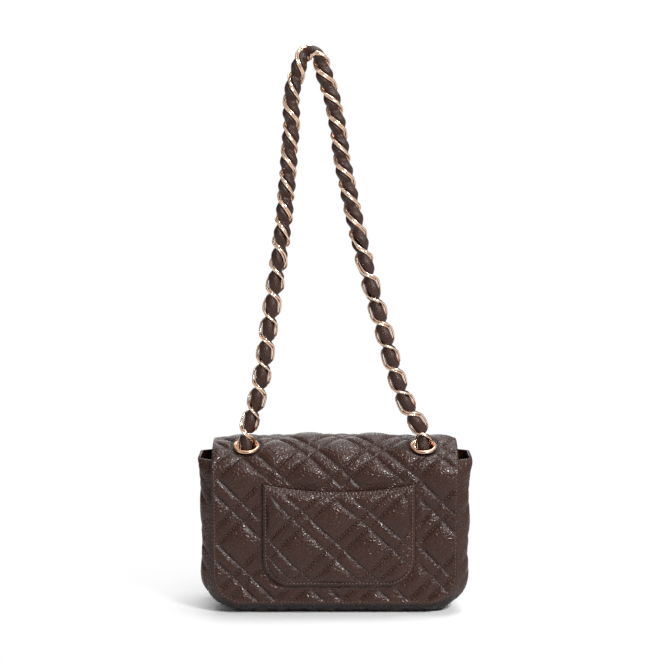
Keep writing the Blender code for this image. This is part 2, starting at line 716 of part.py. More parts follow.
class Route:
    """A smooth planar line for the strap, read by its length."""

    def __init__(self, points):
        ends = [points[0] * 2 - points[1], *points, points[-1] * 2 - points[-2]]
        tangents = [self.tangent(*ends[index:index + 3]) for index in range(len(points))]
        self.samples = []
        for index in range(len(points) - 1):
            start, end = points[index], points[index + 1]
            reach = (end - start).length / 3
            leaving = start + tangents[index] * reach
            arriving = end - tangents[index + 1] * reach
            span = interpolate_bezier(start, leaving, arriving, end, ROUTE_STEPS)
            self.samples += span[:-1]
        self.samples.append(points[-1])
        self.lengths = [0.0]
        for first, second in zip(self.samples, self.samples[1:]):
            self.lengths.append(self.lengths[-1] + (second - first).length)

    @staticmethod
    def tangent(before, point, after):
        arriving, leaving = point - before, after - point
        blend = arriving.normalized() * leaving.length + leaving.normalized() * arriving.length
        return blend.normalized()

    def at(self, length):
        high = min(max(bisect.bisect_right(self.lengths, length), 1), len(self.lengths) - 1)
        low = high - 1
        share = (length - self.lengths[low]) / (self.lengths[high] - self.lengths[low])
        return self.samples[low].lerp(self.samples[high], min(max(share, 0.0), 1.0))


def strap_roll(share):
    """Turn of the strap about its own line, at a share of its length."""
    rise = (min(share, 1 - share) - ROLL_START_SHARE) / (ROLL_END_SHARE - ROLL_START_SHARE)
    rise = min(max(rise, 0.0), 1.0)
    return ROLL_ANGLE * rise * rise * (3 - 2 * rise)


@dataclass
class Link:
    """A twisted link between two joints, each given by its place and the turn of the strap there."""

    low: Vector
    high: Vector
    low_roll: float
    high_roll: float

    def axis(self):
        return (self.high - self.low).normalized()

    def wire(self, low_plane, high_plane, low_reach, high_reach):
        """The wire's centre line, twisted from one end's plane to the other's."""
        axis = self.axis()
        across = Vector((-axis.z, 0.0, axis.x))
        towards = Vector((0.0, -1.0, 0.0))
        half_length = (self.high - self.low).length / 2
        outline = []
        for start, end_sign, reach in ((-math.pi / 2, 1, high_reach), (math.pi / 2, -1, low_reach)):
            for step in range(LINK_BEND_STEPS + 1):
                angle = start + math.pi * step / LINK_BEND_STEPS
                bend_middle = end_sign * (half_length + reach - LINK_HALF_WIDTH)
                lateral = -LINK_HALF_WIDTH * math.sin(angle)
                outline.append((bend_middle + LINK_HALF_WIDTH * math.cos(angle), lateral))
            outline.append((0.0, outline[-1][1]))
        points = []
        for along, lateral in outline:
            share = min(max((along / half_length + 1) / 2, 0.0), 1.0)
            plane = low_plane + self.low_roll
            plane += (high_plane + self.high_roll - plane) * share
            side = across * math.cos(plane) + towards * math.sin(plane)
            points.append((self.low + self.high) / 2 + axis * along + side * lateral)
        return points


def wire_mesh(name, points):
    """A closed ring of wire."""
    curve = bpy.data.curves.new(name, "CURVE")
    curve.dimensions = "3D"
    curve.bevel_depth = WIRE_RADIUS
    curve.bevel_resolution = 1
    spline = curve.splines.new("POLY")
    spline.points.add(len(points) - 1)
    for target, point in zip(spline.points, points):
        target.co = (*point, 1.0)
    spline.use_cyclic_u = True
    mesh = mesh_of_curve(name, curve, Matrix.Identity(4))
    bm = bmesh.new()
    bm.from_mesh(mesh)
    bmesh.ops.recalc_face_normals(bm, faces=bm.faces)
    bm.to_mesh(mesh)
    bm.free()
    return mesh


def chain_part(name, wires):
    """Neighbouring links joined where they bear on each other."""
    part = add_part(name, wire_mesh(name, wires[0]), GOLD)
    for index, points in enumerate(wires[1:]):
        helper = add_cutter(f"{name}_link_{index + 2}", wire_mesh(name, points))
        use_boolean(part, helper, "UNION")


def strap_links(route):
    """The links above the eyelets, from the left eyelet to the right one."""
    total = route.lengths[-1]
    joints = [route.at(total * index / LINK_COUNT) for index in range(LINK_COUNT + 1)]
    rolls = [strap_roll(index / LINK_COUNT) for index in range(LINK_COUNT + 1)]
    return [Link(*ends) for ends in zip(joints, joints[1:], rolls, rolls[1:])]


def make_chain(links):
    """A few links to a node, each hooked in the next a quarter turn round."""
    touching = WIRE_RADIUS - LINK_TOUCH
    clear = WIRE_RADIUS + CLEARANCE / 2
    loose = WIRE_RADIUS + PIVOT_SLACK
    for first in range(0, LINK_COUNT, LINKS_PER_SECTION):
        wires = []
        last = min(first + LINKS_PER_SECTION, LINK_COUNT) - 1
        for index in range(first, last + 1):
            low_plane, high_plane = math.pi / 4, math.pi * 3 / 4
            low_reach = clear if index == first else touching
            high_reach = clear if index == last else touching
            if index == 0:
                low_plane, low_reach = math.pi / 2, loose
            if index == LINK_COUNT - 1:
                high_plane, high_reach = math.pi / 2, loose
            wires.append(links[index].wire(low_plane, high_plane, low_reach, high_reach))
        chain_part(f"strap_chain_{first // LINKS_PER_SECTION + 1:02d}", wires)


def lace_frame(links, index, share, quarter_turn):
    """The place and the cross directions of the strap in a link, at a share of its length."""
    link = links[index]
    axis = link.axis() if share else (link.axis() + links[index - 1].axis()).normalized()
    roll = link.low_roll + (link.high_roll - link.low_roll) * share + quarter_turn
    across = Vector((-axis.z, 0.0, axis.x))
    towards = Vector((0.0, -1.0, 0.0))
    sideways = across * math.cos(roll) + towards * math.sin(roll)
    outward = towards * math.cos(roll) - across * math.sin(roll)
    return link.low.lerp(link.high, share), sideways, outward


def make_laces(links):
    """Two leather laces that cross inside every link and bulge out over every joint.

    The inner one passes the strap's sharp bend at its side, because it has no room within it.
    """
    pitch = (links[0].high - links[0].low).length
    skipped = math.ceil(LACE_START / pitch * LACE_STATIONS)
    rows = LINK_COUNT * LACE_STATIONS - 2 * skipped

    for facing, label in ((1, "outer"), (-1, "inner")):
        def place(column, row, facing=facing):
            index, station = divmod(skipped + row, LACE_STATIONS)
            share = station / LACE_STATIONS
            neighbour = links[min(max(index + (1 if share > 0.5 else -1), 0), LINK_COUNT - 1)]
            bend = links[index].axis().angle(neighbour.axis()) if facing < 0 else 0.0
            phase = share - 0.5
            inside = 0.5 < index + share < LINK_COUNT - 0.5
            bulge = abs(math.sin(math.pi * phase)) if inside else 0.0
            beside = bend > SHARP_BEND and bulge > 0.0
            sway = 0.0 if beside or not inside else LACE_SWAY * math.sin(2 * math.pi * phase)
            depth = LACE_KNOT_DEPTH + (LACE_BULGE_DEPTH - LACE_KNOT_DEPTH) * bulge
            if not beside:
                depth += (1 - math.cos(bend)) * LACE_BEND_DEPTH * bulge
            half_width = LACE_KNOT_HALF_WIDTH
            half_width += (LACE_BULGE_HALF_WIDTH - LACE_KNOT_HALF_WIDTH) * bulge ** LACE_NARROWING
            point, sideways, outward = lace_frame(links, index, share, math.pi / 2 if beside else 0.0)
            side = sway + (half_width if column else -half_width)
            return point + facing * (sideways * side + outward * depth)

        name = "strap_lace_" + label
        lace = add_part(name, grid_mesh(name, 1, rows, place), LEATHER)
        add_wall(lace, LACE_THICKNESS, 0.0)


def make_strap_ends(pivots):
    """The two links of each end inside the bag, the lace's end between them, and the sewn tab."""
    touching = WIRE_RADIUS - LINK_TOUCH
    loose = WIRE_RADIUS + PIVOT_SLACK
    pitch = 2 * (pivots[0].z - eyelet_frame(-1).translation.z)
    for pivot, label in ((pivots[0], "left"), (pivots[1], "right")):
        joint = pivot - Vector((0.0, 0.0, pitch))
        low = joint - Vector((0.0, 0.0, pitch))
        upper = Link(joint, pivot, 0.0, 0.0)
        lower = Link(low, joint, 0.0, 0.0)
        chain_part("strap_end_" + label, [
            upper.wire(math.pi / 2, 0.0, touching, loose), lower.wire(0.0, 0.0, loose, touching)])
        gap = pitch - 2 * (2 * WIRE_RADIUS + LINK_HALF_WIDTH / 2 + 3 * CLEARANCE)
        lace_mesh = box_mesh("lace_end", (LACE_END_WIDTH, LACE_THICKNESS, gap))
        lace = add_part("lace_end_" + label, lace_mesh, LEATHER)
        lace.location = (joint + pivot) / 2
        lace.rotation_euler.z = LACE_END_TURN
        make_tab(label, low - Vector((0.0, 0.0, loose)))


def make_tab(label, loop):
    """A leather tab folded round the last link's wire and sewn flat to the lining's back."""
    wall_y = -BACK_DEPTH + LINING_FACE + LINING_THICKNESS + CLEARANCE + TAB_THICKNESS
    outer = TAB_LOOP_RADIUS + TAB_THICKNESS
    bend = loop.z - outer - (loop.y - wall_y)
    steps = 2 * CORNER_STEPS
    outline = []
    for step in range(steps + 1):
        angle = TAB_FOLD_TURN * (1 - step / steps)
        outline.append((loop.y + outer * math.cos(angle), loop.z + outer * math.sin(angle)))
    under = loop.y + outer * math.cos(math.pi / 4), loop.z - outer * math.sin(math.pi / 4)
    back = wall_y - TAB_THICKNESS
    front = wall_y + TAB_THICKNESS
    outline += [under, (front, bend), (front, bend - TAB_LENGTH), (back, bend - TAB_LENGTH), (back, bend)]
    hole = []
    for step in range(steps):
        angle = 2 * math.pi * step / steps
        across = loop.y + TAB_LOOP_RADIUS * math.cos(angle)
        hole.append((across, loop.z + TAB_LOOP_RADIUS * math.sin(angle)))
    tab = outline_solid("strap_tab_" + label, (outline, hole), TAB_WIDTH, LEATHER)
    tab.matrix_world = Matrix(((0, 0, 1, loop.x), (1, 0, 0, 0), (0, 1, 0, 0), (0, 0, 0, 1)))


def strap_route():
    frame = eyelet_frame(-1)
    eyelet = frame @ Vector((0.0, 0.0, -EYELET_DEPTH / 2))
    pivot_height = frame.translation.z + PIVOT_RISE
    points = []
    for across_share, rise_share in ROUTE_SHARES:
        points.append(Vector((
            across_share * EYELET_SPACING / 2, eyelet.y, pivot_height + rise_share * STRAP_RISE)))
    return Route(points)


def build():
    back_panel = make_back_panel()
    back_facing = make_back_facing()
    make_flap()
    front_panel = make_front_panel()
    make_gusset()
    make_boards()
    lining = make_lining()
    make_pockets()
    make_eyelets(back_panel, back_facing)
    lock_bore = make_lock()
    for part in (front_panel, bpy.data.objects["front_board"], lining):
        use_boolean(part, lock_bore, "DIFFERENCE")
    for rivet_bore in make_rivets():
        for name in ("flap_panel", "flap_board", "flap_lining", "lock_plate"):
            use_boolean(bpy.data.objects[name], rivet_bore, "DIFFERENCE")
    route = strap_route()
    links = strap_links(route)
    make_chain(links)
    make_laces(links)
    make_strap_ends((route.samples[0], route.samples[-1]))


build()
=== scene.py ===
"""The looks of a small quilted flap bag with a chain strap laced with leather.

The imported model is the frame: every piece stands in its place there, in metres, with +Z up. The back
of the bag, with the patch pocket, faces -Y and the camera. The flap falls over the front.
"""

import bisect
import logging
import math
from collections.abc import Callable, Iterable, Sequence
from dataclasses import asdict, dataclass, field
from enum import Enum

import bmesh
import bpy
from mathutils import Matrix, Vector, noise
from mathutils.bvhtree import BVHTree
from mathutils.geometry import interpolate_bezier

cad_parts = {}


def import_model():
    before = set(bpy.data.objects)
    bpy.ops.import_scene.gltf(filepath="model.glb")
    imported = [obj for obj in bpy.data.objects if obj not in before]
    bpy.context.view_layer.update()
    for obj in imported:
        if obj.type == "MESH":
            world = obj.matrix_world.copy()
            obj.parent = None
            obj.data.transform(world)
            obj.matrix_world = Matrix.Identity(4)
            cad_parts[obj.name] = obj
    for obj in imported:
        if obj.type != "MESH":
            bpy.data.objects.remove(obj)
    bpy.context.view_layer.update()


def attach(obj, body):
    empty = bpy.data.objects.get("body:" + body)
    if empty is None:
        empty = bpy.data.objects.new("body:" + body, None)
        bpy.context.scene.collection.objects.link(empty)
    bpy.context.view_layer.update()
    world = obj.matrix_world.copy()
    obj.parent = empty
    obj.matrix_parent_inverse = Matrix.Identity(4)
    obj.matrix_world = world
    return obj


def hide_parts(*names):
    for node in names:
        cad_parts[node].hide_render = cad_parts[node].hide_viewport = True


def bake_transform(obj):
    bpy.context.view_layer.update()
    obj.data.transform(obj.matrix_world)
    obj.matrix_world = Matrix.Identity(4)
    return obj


LOG = logging.getLogger("flap_bag")

MM = 0.001
FULL_TURN = 2 * math.pi
HALF_TURN = math.pi
QUARTER_TURN = math.pi / 2
ROOT_HALF = math.sqrt(0.5)
SMALL_STEP = 0.0002
LINE_STEP = 0.0012
MERGE_DISTANCE = 0.00001
RAY_START = 0.006
STITCH_LIFT = 0.12
PUNCH_SIDES = 48
PUNCH_DEPTH = 0.016
FLAT_ANGLE = math.radians(0.5)
SHARP_ANGLE = math.radians(32.0)
CLEARANCE = 0.0003
WHITE = (1.0, 1.0, 1.0, 1.0)

Colour = tuple[float, float, float]
Flat = tuple[float, float]
Place = tuple[float, float, float]
Rule = Callable[[float, float], float]
Test = Callable[[float, float], bool]
Face = Callable[[float, float], Vector]
Piece = bpy.types.Object
Mesh = bpy.types.Mesh
Material = bpy.types.Material
Node = bpy.types.Node
NodeTree = bpy.types.NodeTree
Socket = bpy.types.NodeSocket
Sockets = bpy.types.bpy_prop_collection
Value = float | int | str | tuple | Vector | Socket | Material


class Slot(Enum):
    """Names of material slots."""

    LEATHER = "leather"
    CLOTH = "lining_cloth"
    METAL = "gold_metal"


class Body(Enum):
    """The bodies that pieces ride on."""

    BAG = "root"
    FLAP = "flap"
    LOCK = "lock"
    STRAP = "strap"


def share_of(value: float) -> float:
    """A value held between 0 and 1."""
    return min(max(value, 0.0), 1.0)


def smooth_rise(value: float, start: float, end: float) -> float:
    """Rises smoothly from 0 where the value passes start to 1 where it passes end."""
    share = share_of((value - start) / (end - start))
    return share * share * (3 - 2 * share)


def power_wave(wave: float, squareness: float) -> float:
    """A sine or cosine raised to a power, with its sign kept."""
    return math.copysign(abs(wave) ** squareness, wave)


class Graph:
    """Short calls for adding and joining the nodes of one tree."""

    def __init__(self, tree: NodeTree) -> None:
        """Keeps the tree that the nodes go in."""
        self.tree = tree

    def put(self, socket: Socket, value: Value) -> None:
        """Joins a socket to another one, or sets its value.

        Args:
            socket: The input to fill.
            value: An output socket, or a plain value.
        """
        if isinstance(value, Socket):
            self.tree.links.new(value, socket)
        else:
            socket.default_value = value

    def add(self, kind: str, inputs: dict[str | int, Value] | None = None,
            **settings: object) -> Node:
        """Adds a node.

        Args:
            kind: The node's type name.
            inputs: Values by the input's name or number.
            **settings: The node's own properties.

        Returns:
            The new node.
        """
        node = self.tree.nodes.new(kind)
        for name, setting in settings.items():
            setattr(node, name, setting)
        for key, value in (inputs or {}).items():
            self.put(node.inputs[key], value)
        return node

    def math(self, operation: str, *values: Value) -> Socket:
        """Adds a Math node and returns its result."""
        return self.add("ShaderNodeMath", dict(enumerate(values)), operation=operation).outputs[0]

    def times(self, *values: Value) -> Socket:
        """Multiplies two values."""
        return self.math("MULTIPLY", *values)

    def plus(self, *values: Value) -> Socket:
        """Adds two values."""
        return self.math("ADD", *values)

    def minus(self, *values: Value) -> Socket:
        """Takes the second value from the first."""
        return self.math("SUBTRACT", *values)

    def over(self, *values: Value) -> Socket:
        """Divides the first value by the second."""
        return self.math("DIVIDE", *values)

    def times_plus(self, *values: Value) -> Socket:
        """Multiplies the first two values and adds the third."""
        return self.math("MULTIPLY_ADD", *values)

    def vector(self, operation: str, *values: Value) -> Socket:
        """Adds a Vector Math node and returns its vector."""
        node = self.add("ShaderNodeVectorMath", dict(enumerate(values)), operation=operation)
        return node.outputs["Vector"]

    def scaled(self, vector: Value, scale: Value) -> Socket:
        """Scales a vector."""
        node = self.add("ShaderNodeVectorMath", {0: vector, "Scale": scale}, operation="SCALE")
        return node.outputs["Vector"]

    def split(self, vector: Value) -> Sockets:
        """The X, Y and Z of a vector."""
        return self.add("ShaderNodeSeparateXYZ", {0: vector}).outputs

    def ramp(self, value: Value, start: Value, end: Value, low: Value = 0.0,
             high: Value = 1.0) -> Socket:
        """Maps a value smoothly from start and end to low and high."""
        inputs = {"Value": value, "From Min": start, "From Max": end, "To Min": low, "To Max": high}
        return self.add("ShaderNodeMapRange", inputs, interpolation_type="SMOOTHSTEP").outputs["Result"]

    def place(self) -> Socket:
        """The place on the object."""
        return self.add("ShaderNodeTexCoord").outputs["Object"]

    def noise(self, vector: Value, scale: Value, detail: float) -> Sockets:
        """Adds a noise texture and returns its outputs."""
        inputs = {"Vector": vector, "Scale": scale, "Detail": detail}
        return self.add("ShaderNodeTexNoise", inputs).outputs

    def cells(self, vector: Value, scale: Value, feature: str) -> Socket:
        """Adds a cell texture and returns its distance."""
        inputs = {"Vector": vector, "Scale": scale}
        return self.add("ShaderNodeTexVoronoi", inputs, feature=feature).outputs["Distance"]

    def attribute(self, name: str) -> Sockets:
        """Reads a named attribute in a material."""
        return self.add("ShaderNodeAttribute", attribute_name=name).outputs

    def stored(self, name: str, kind: str = "FLOAT") -> Socket:
        """Reads a named attribute in Geometry Nodes."""
        node = self.add("GeometryNodeInputNamedAttribute", {"Name": name}, data_type=kind)
        return node.outputs["Attribute"]


def sockets_of(kind: str, *names: str) -> dict[str, str]:
    """Sockets of one kind, by name."""
    return dict.fromkeys(names, kind)


@dataclass
class GroupTree:
    """A new node group with its graph, entry and exit."""

    name: str
    inputs: dict[str, str]
    outputs: dict[str, str]
    kind: str = "ShaderNodeTree"
    graph: Graph = field(init=False)
    entry: Node = field(init=False)
    leave: Node = field(init=False)

    def __post_init__(self) -> None:
        """Makes the group and its sockets."""
        tree = bpy.data.node_groups.new(self.name, self.kind)
        for way, sockets in (("INPUT", self.inputs), ("OUTPUT", self.outputs)):
            for name, kind in sockets.items():
                tree.interface.new_socket(name, in_out=way, socket_type="NodeSocket" + kind)
        self.graph = Graph(tree)
        self.entry = self.graph.add("NodeGroupInput")
        self.leave = self.graph.add("NodeGroupOutput")

    def read(self, name: str) -> Socket:
        """An input of the group, to join to its nodes."""
        return self.entry.outputs[name]

    def give(self, name: str, value: Value) -> None:
        """Joins a value to an output of the group."""
        self.graph.put(self.leave.inputs[name], value)


class PieceTree(GroupTree):
    """A Geometry Nodes tree that takes a mesh, some sizes and a finish."""

    def __init__(self, name: str, *sizes: str) -> None:
        """Makes the tree.

        Args:
            name: Its name.
            *sizes: The names of its number inputs.
        """
        shape = sockets_of("Geometry", "Geometry")
        inputs = {**shape, **sockets_of("Float", *sizes), **sockets_of("Material", "Finish")}
        super().__init__(name, inputs, shape, "GeometryNodeTree")

    def dress(self, geometry: Socket) -> NodeTree:
        """Ends the tree.

        Args:
            geometry: What it has made.

        Returns:
            The tree, which turns instances into mesh and sets the finish.
        """
        real = self.graph.add("GeometryNodeRealizeInstances", {"Geometry": geometry})
        dressed = self.graph.add("GeometryNodeSetMaterial", {
            "Geometry": real.outputs["Geometry"], "Material": self.read("Finish")})
        self.give("Geometry", dressed.outputs["Geometry"])
        return self.graph.tree


def keep_result(piece: Piece, smooth: bool = True) -> None:
    """Turns a piece and its modifiers into one plain mesh.

    Args:
        piece: The object whose modifiers are done.
        smooth: Whether the whole piece is shaded smooth.
    """
    graph = bpy.context.evaluated_depsgraph_get()
    graph.update()
    result = bpy.data.meshes.new_from_object(piece.evaluated_get(graph))
    piece.modifiers.clear()
    piece.data = result
    result.name = piece.name
    if smooth:
        result.shade_smooth()


def run_tree(piece: Piece, tree: NodeTree, **values: object) -> None:
    """Runs a Geometry Nodes tree on a piece and keeps the result as its mesh.

    Args:
        piece: The object that the tree changes.
        tree: The Geometry Nodes tree.
        **values: The tree's inputs by name, in small letters with underscores.
    """
    modifier = piece.modifiers.new(tree.name, "NODES")
    modifier.node_group = tree
    items = tree.interface.items_tree
    sockets = {item.name: item.identifier for item in items if item.in_out == "INPUT"}
    for name, value in values.items():
        modifier[sockets[name.replace("_", " ").title()]] = value
    keep_result(piece)


def add_piece(name: str, mesh: Mesh, finish: Material | None = None) -> Piece:
    """Adds a piece to the scene.

    Args:
        name: The piece's name.
        mesh: Its mesh, in place.
        finish: Its material, where the mesh has none yet.

    Returns:
        The new object.
    """
    mesh.name = name
    piece = bpy.data.objects.new(name, mesh)
    bpy.context.scene.collection.objects.link(piece)
    if finish:
        mesh.materials.clear()
        mesh.materials.append(finish)
    return piece


def mesh_of(bm: bmesh.types.BMesh, name: str) -> Mesh:
    """Turns a finished bmesh into a mesh and frees it.

    Args:
        bm: The mesh being built.
        name: The new mesh's name.

    Returns:
        The finished mesh.
    """
    mesh = bpy.data.meshes.new(name)
    bm.to_mesh(mesh)
    bm.free()
    return mesh


def store_vectors(mesh: Mesh, name: str, vectors: Iterable[Sequence[float]]) -> None:
    """Stores a named vector for each point of a mesh."""
    layer = mesh.attributes.new(name, "FLOAT_VECTOR", "POINT")
    layer.data.foreach_set("vector", [part for vector in vectors for part in vector])


def settle(pieces: Sequence[Piece], body: Body, slot: Slot, *nodes: str) -> None:
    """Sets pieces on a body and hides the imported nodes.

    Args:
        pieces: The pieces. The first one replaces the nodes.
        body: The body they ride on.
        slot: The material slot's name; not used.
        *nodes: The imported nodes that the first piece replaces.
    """
    for piece in pieces:
        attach(piece, body.value)
    if nodes:
        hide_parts(*nodes)


# Finishes

GRAIN = "pebble_grain"
WEAVE = "woven_threads"
WEAR = "handling_wear"
ROWS = "quilting_rows"


def make_pebble_grain() -> None:
    """Leather grain: rounded pebbles of uneven size between fine creases.

    The shader group gives a Height from 0 in the creases to 1, and a Tone that varies slowly.
    """
    inputs = sockets_of("Float", "Pebble Size", "Softness")
    group = GroupTree(GRAIN, inputs, sockets_of("Float", "Height", "Tone"))
    graph = group.graph
    place = graph.place()
    density = graph.over(1.0, group.read("Pebble Size"))
    drift = graph.vector("SUBTRACT", graph.noise(place, 160.0, 2.0)["Color"], (0.5, 0.5, 0.5))
    bent = graph.vector("ADD", place, graph.scaled(drift, 0.0016))
    crease = graph.ramp(graph.cells(bent, density, "DISTANCE_TO_EDGE"), 0.0, group.read("Softness"))
    crown = graph.minus(1.0, graph.math("POWER", graph.cells(bent, density, "F1"), 2.0))
    height = graph.times(crease, graph.times_plus(crown, 0.6, 0.4))
    fine = graph.noise(place, 3200.0, 3.0)["Fac"]
    group.give("Height", graph.times_plus(fine, 0.02, height))
    group.give("Tone", graph.ramp(graph.noise(place, 28.0, 3.0)["Fac"], 0.3, 0.7))


def make_woven_threads() -> None:
    """A plain weave, read along the cloth's own directions.

    The shader group gives the threads' Height and a Tone that differs from thread to thread.
    """
    inputs = {"Cloth Place": "Vector", "Thread Width": "Float"}
    group = GroupTree(WEAVE, inputs, sockets_of("Float", "Height", "Tone"))
    graph = group.graph
    turns = graph.over(HALF_TURN, group.read("Thread Width"))
    split = graph.split(graph.scaled(group.read("Cloth Place"), turns))
    warp, weft = (graph.math("ABSOLUTE", graph.math("SINE", split[axis])) for axis in "XY")
    halves = [graph.math("SINE", graph.times(split[axis], 0.5)) for axis in "XY"]
    over = graph.math("GREATER_THAN", graph.times(*halves), 0.0)
    height = graph.add("ShaderNodeMix", {0: over, 2: warp, 3: weft}, data_type="FLOAT").outputs[0]
    group.give("Height", height)
    slubs = graph.noise(group.read("Cloth Place"), 600.0, 2.0)["Fac"]
    group.give("Tone", graph.ramp(slubs, 0.35, 0.65))


def make_handling_wear() -> None:
    """Fine scratches and smears that handling leaves.

    The shader group gives Scratches from 0 to 1 and a slow Smear from 0 to 1.
    """
    group = GroupTree(WEAR, sockets_of("Float", "Size"), sockets_of("Float", "Scratches", "Smear"))
    graph = group.graph
    place = graph.place()
    scale = graph.over(1.0, group.read("Size"))
    drawn_out = graph.vector("MULTIPLY", place, (1.0, 5.0, 1.0))
    lines = graph.noise(drawn_out, graph.times(scale, 4.0), 4.0)["Fac"]
    group.give("Scratches", graph.ramp(lines, 0.55, 0.75))
    group.give("Smear", graph.ramp(graph.noise(place, scale, 2.0)["Fac"], 0.3, 0.7))


def make_quilting_rows() -> None:
    """The sewn rows' crisp grooves, and the line of painted shade along a turned edge.

    The shader group gives Seam and the turned edge's painted shade, each from 0 to 1.
    """
    inputs = sockets_of("Float", "Pitch", "Band", "Width")
    group = GroupTree(ROWS, inputs, sockets_of("Float", "Seam", "Edge"))
    graph, read = group.graph, group.read
    split = graph.split(graph.attribute("rows")["Vector"])
    nearest = graph.math("MINIMUM", *(flat_rows(graph, split[axis], read("Pitch"), read("Band"), 1.0)[1]
                                      for axis in "XY"))
    groove = graph.math("EXPONENT", graph.over(graph.times(nearest, -1.0), read("Width")))
    group.give("Seam", graph.times(groove, split["Z"]))
    # Painted shade where the face sinks: along rolled edges and in pressed grooves.
    group.give("Edge", graph.ramp(graph.attribute("sink")["Fac"], 0.0001, 0.0009))


class Coat:
    """A material under way."""

    def __init__(self, name: str, colour: Colour = (0.0, 0.0, 0.0)) -> None:
        """Starts the material.

        Args:
            name: Its name.
            colour: Its main colour.
        """
        self.finish = bpy.data.materials.new(name)
        self.finish.use_nodes = True
        self.graph = Graph(self.finish.node_tree)
        self.shader = self.finish.node_tree.nodes["Principled BSDF"]
        self.colour = colour

    def group(self, name: str, **inputs: Value) -> Sockets:
        """Places a shared shader group.

        Args:
            name: The group's name.
            **inputs: Its values by name, with an underscore for each space.

        Returns:
            The group's outputs.
        """
        node = self.graph.add("ShaderNodeGroup", node_tree=bpy.data.node_groups[name])
        for key, value in inputs.items():
            self.graph.put(node.inputs[key.replace("_", " ")], value)
        return node.outputs

    def shade(self, share: Value) -> Value:
        """The colour made lighter or darker, or a colour that is mixed already."""
        if isinstance(share, Socket):
            return share
        return (*(min(part * share, 1.0) for part in self.colour), 1.0)

    def shades(self, share: Value, first: Value, second: Value) -> Socket:
        """Mixes two shades of the colour."""
        inputs = {0: share, 6: self.shade(first), 7: self.shade(second)}
        return self.graph.add("ShaderNodeMix", inputs, data_type="RGBA").outputs[2]

    def give(self, **values: Value) -> None:
        """Fills the shader's sockets, named with an underscore for each space."""
        for key, value in values.items():
            self.graph.put(self.shader.inputs[key.replace("_", " ")], value)

    def bump(self, height: Value, depth: float) -> None:
        """Gives the shader a bump, whose height of 1 is as deep as depth in metres."""
        bump = self.graph.add("ShaderNodeBump", {"Height": height, "Distance": depth, "Strength": 1.0})
        self.give(Normal=bump.outputs["Normal"])


@dataclass(frozen=True)
class Leather:
    """Dark brown leather with a pebbled grain and a soft sheen."""

    name: str
    colour: Colour = (0.0330, 0.0098, 0.0048)
    pebble: float = 0.0027
    softness: float = 0.24
    depth: float = 0.00019
    wear: float = 0.012
    roughness: float = 0.20
    crease_roughness: float = 0.20
    shine: float = 0.36
    groove: float = 0.0006
    groove_width: float = 0.0007
    uneven_shades: Flat = (0.88, 1.12)
    # painted shade: how dark the grain's creases are painted
    crease_shade: float = 0.66
    # painted shade in the sewn rows' grooves, and along turned edges
    seam_darkness: float = 0.6
    sunk_shade: float = 0.22
    sunk_roughness: float = 0.2
    smear_roughness: float = 0.06

    def build(self) -> Material:
        """Makes the material: dull in the creases and the sewn rows, with painted shade in the grain's
        creases, in the sewn rows and along turned edges, glossier on the pebbles.

        Returns:
            The material.
        """
        coat = Coat(self.name, self.colour)
        graph = coat.graph
        grain = coat.group(GRAIN, Pebble_Size=self.pebble, Softness=self.softness)
        wear = coat.group(WEAR, Size=self.wear)
        rows = coat.group(ROWS, Pitch=Quilting.pitch, Band=Quilting.band, Width=self.groove_width)
        height = grain["Height"]
        even = coat.shades(grain["Tone"], *self.uneven_shades)
        # Painted shade in the grain's creases.
        crease_shaded_colour = coat.shades(graph.ramp(height, 0.0, 0.5), self.crease_shade, even)
        # Painted shade: the rows' grooves and the turned edges are painted darker, and made rougher.
        row_shade_mask = graph.math("MAXIMUM", graph.times(rows["Seam"], self.seam_darkness), rows["Edge"])
        rough = graph.ramp(height, 0.1, 0.8, self.roughness + self.crease_roughness, self.roughness)
        rough = graph.times_plus(wear["Smear"], self.smear_roughness, rough)
        coat.give(Base_Color=coat.shades(row_shade_mask, crease_shaded_colour, self.sunk_shade), Specular_IOR_Level=self.shine,
                  Roughness=graph.times_plus(row_shade_mask, self.sunk_roughness, rough))
        grained = graph.times(height, self.depth)
        coat.bump(graph.times_plus(rows["Seam"], -self.groove, grained), 1.0)
        return coat.finish


@dataclass(frozen=True)
class RoseGold:
    """Polished pale rose gold plate."""

    name: str
    colour: Colour = (0.78, 0.47, 0.31)
    roughness: float = 0.17
    scratch_roughness: float = 0.16
    scratch_depth: float = 0.00001
    wear: float = 0.004

    def build(self) -> Material:
        """Makes the material: bright metal with smears and fine scratches.

        Returns:
            The material.
        """
        coat = Coat(self.name, self.colour)
        wear = coat.group(WEAR, Size=self.wear)
        rough = coat.graph.times_plus(wear["Scratches"], self.scratch_roughness, self.roughness)
        coat.give(Base_Color=coat.shades(wear["Smear"], 0.92, 1.06), Roughness=rough, Metallic=1.0)
        coat.bump(wear["Scratches"], self.scratch_depth)
        return coat.finish


@dataclass(frozen=True)
class LiningCloth:
    """Matt woven lining."""

    name: str
    colour: Colour = (0.060, 0.040, 0.036)
    thread: float = 0.0006
    depth: float = 0.00012

    def build(self) -> Material:
        """Makes the material: a plain weave along the cloth, with slubs and painted shade between the
        threads.

        Returns:
            The material.
        """
        coat = Coat(self.name, self.colour)
        place = coat.graph.attribute("flat")["Vector"]
        weave = coat.group(WEAVE, Cloth_Place=place, Thread_Width=self.thread)
        tone = coat.shades(weave["Tone"], 0.8, 1.2)
        rough = coat.graph.ramp(weave["Height"], 0.0, 1.0, 0.9, 0.74)
        # Painted shade: the colour darkens where the threads dip between each other.
        coat.give(Base_Color=coat.shades(weave["Height"], 0.45, tone), Roughness=rough, Sheen_Weight=0.25,
                  Sheen_Roughness=0.5)
        coat.bump(weave["Height"], self.depth)
        return coat.finish


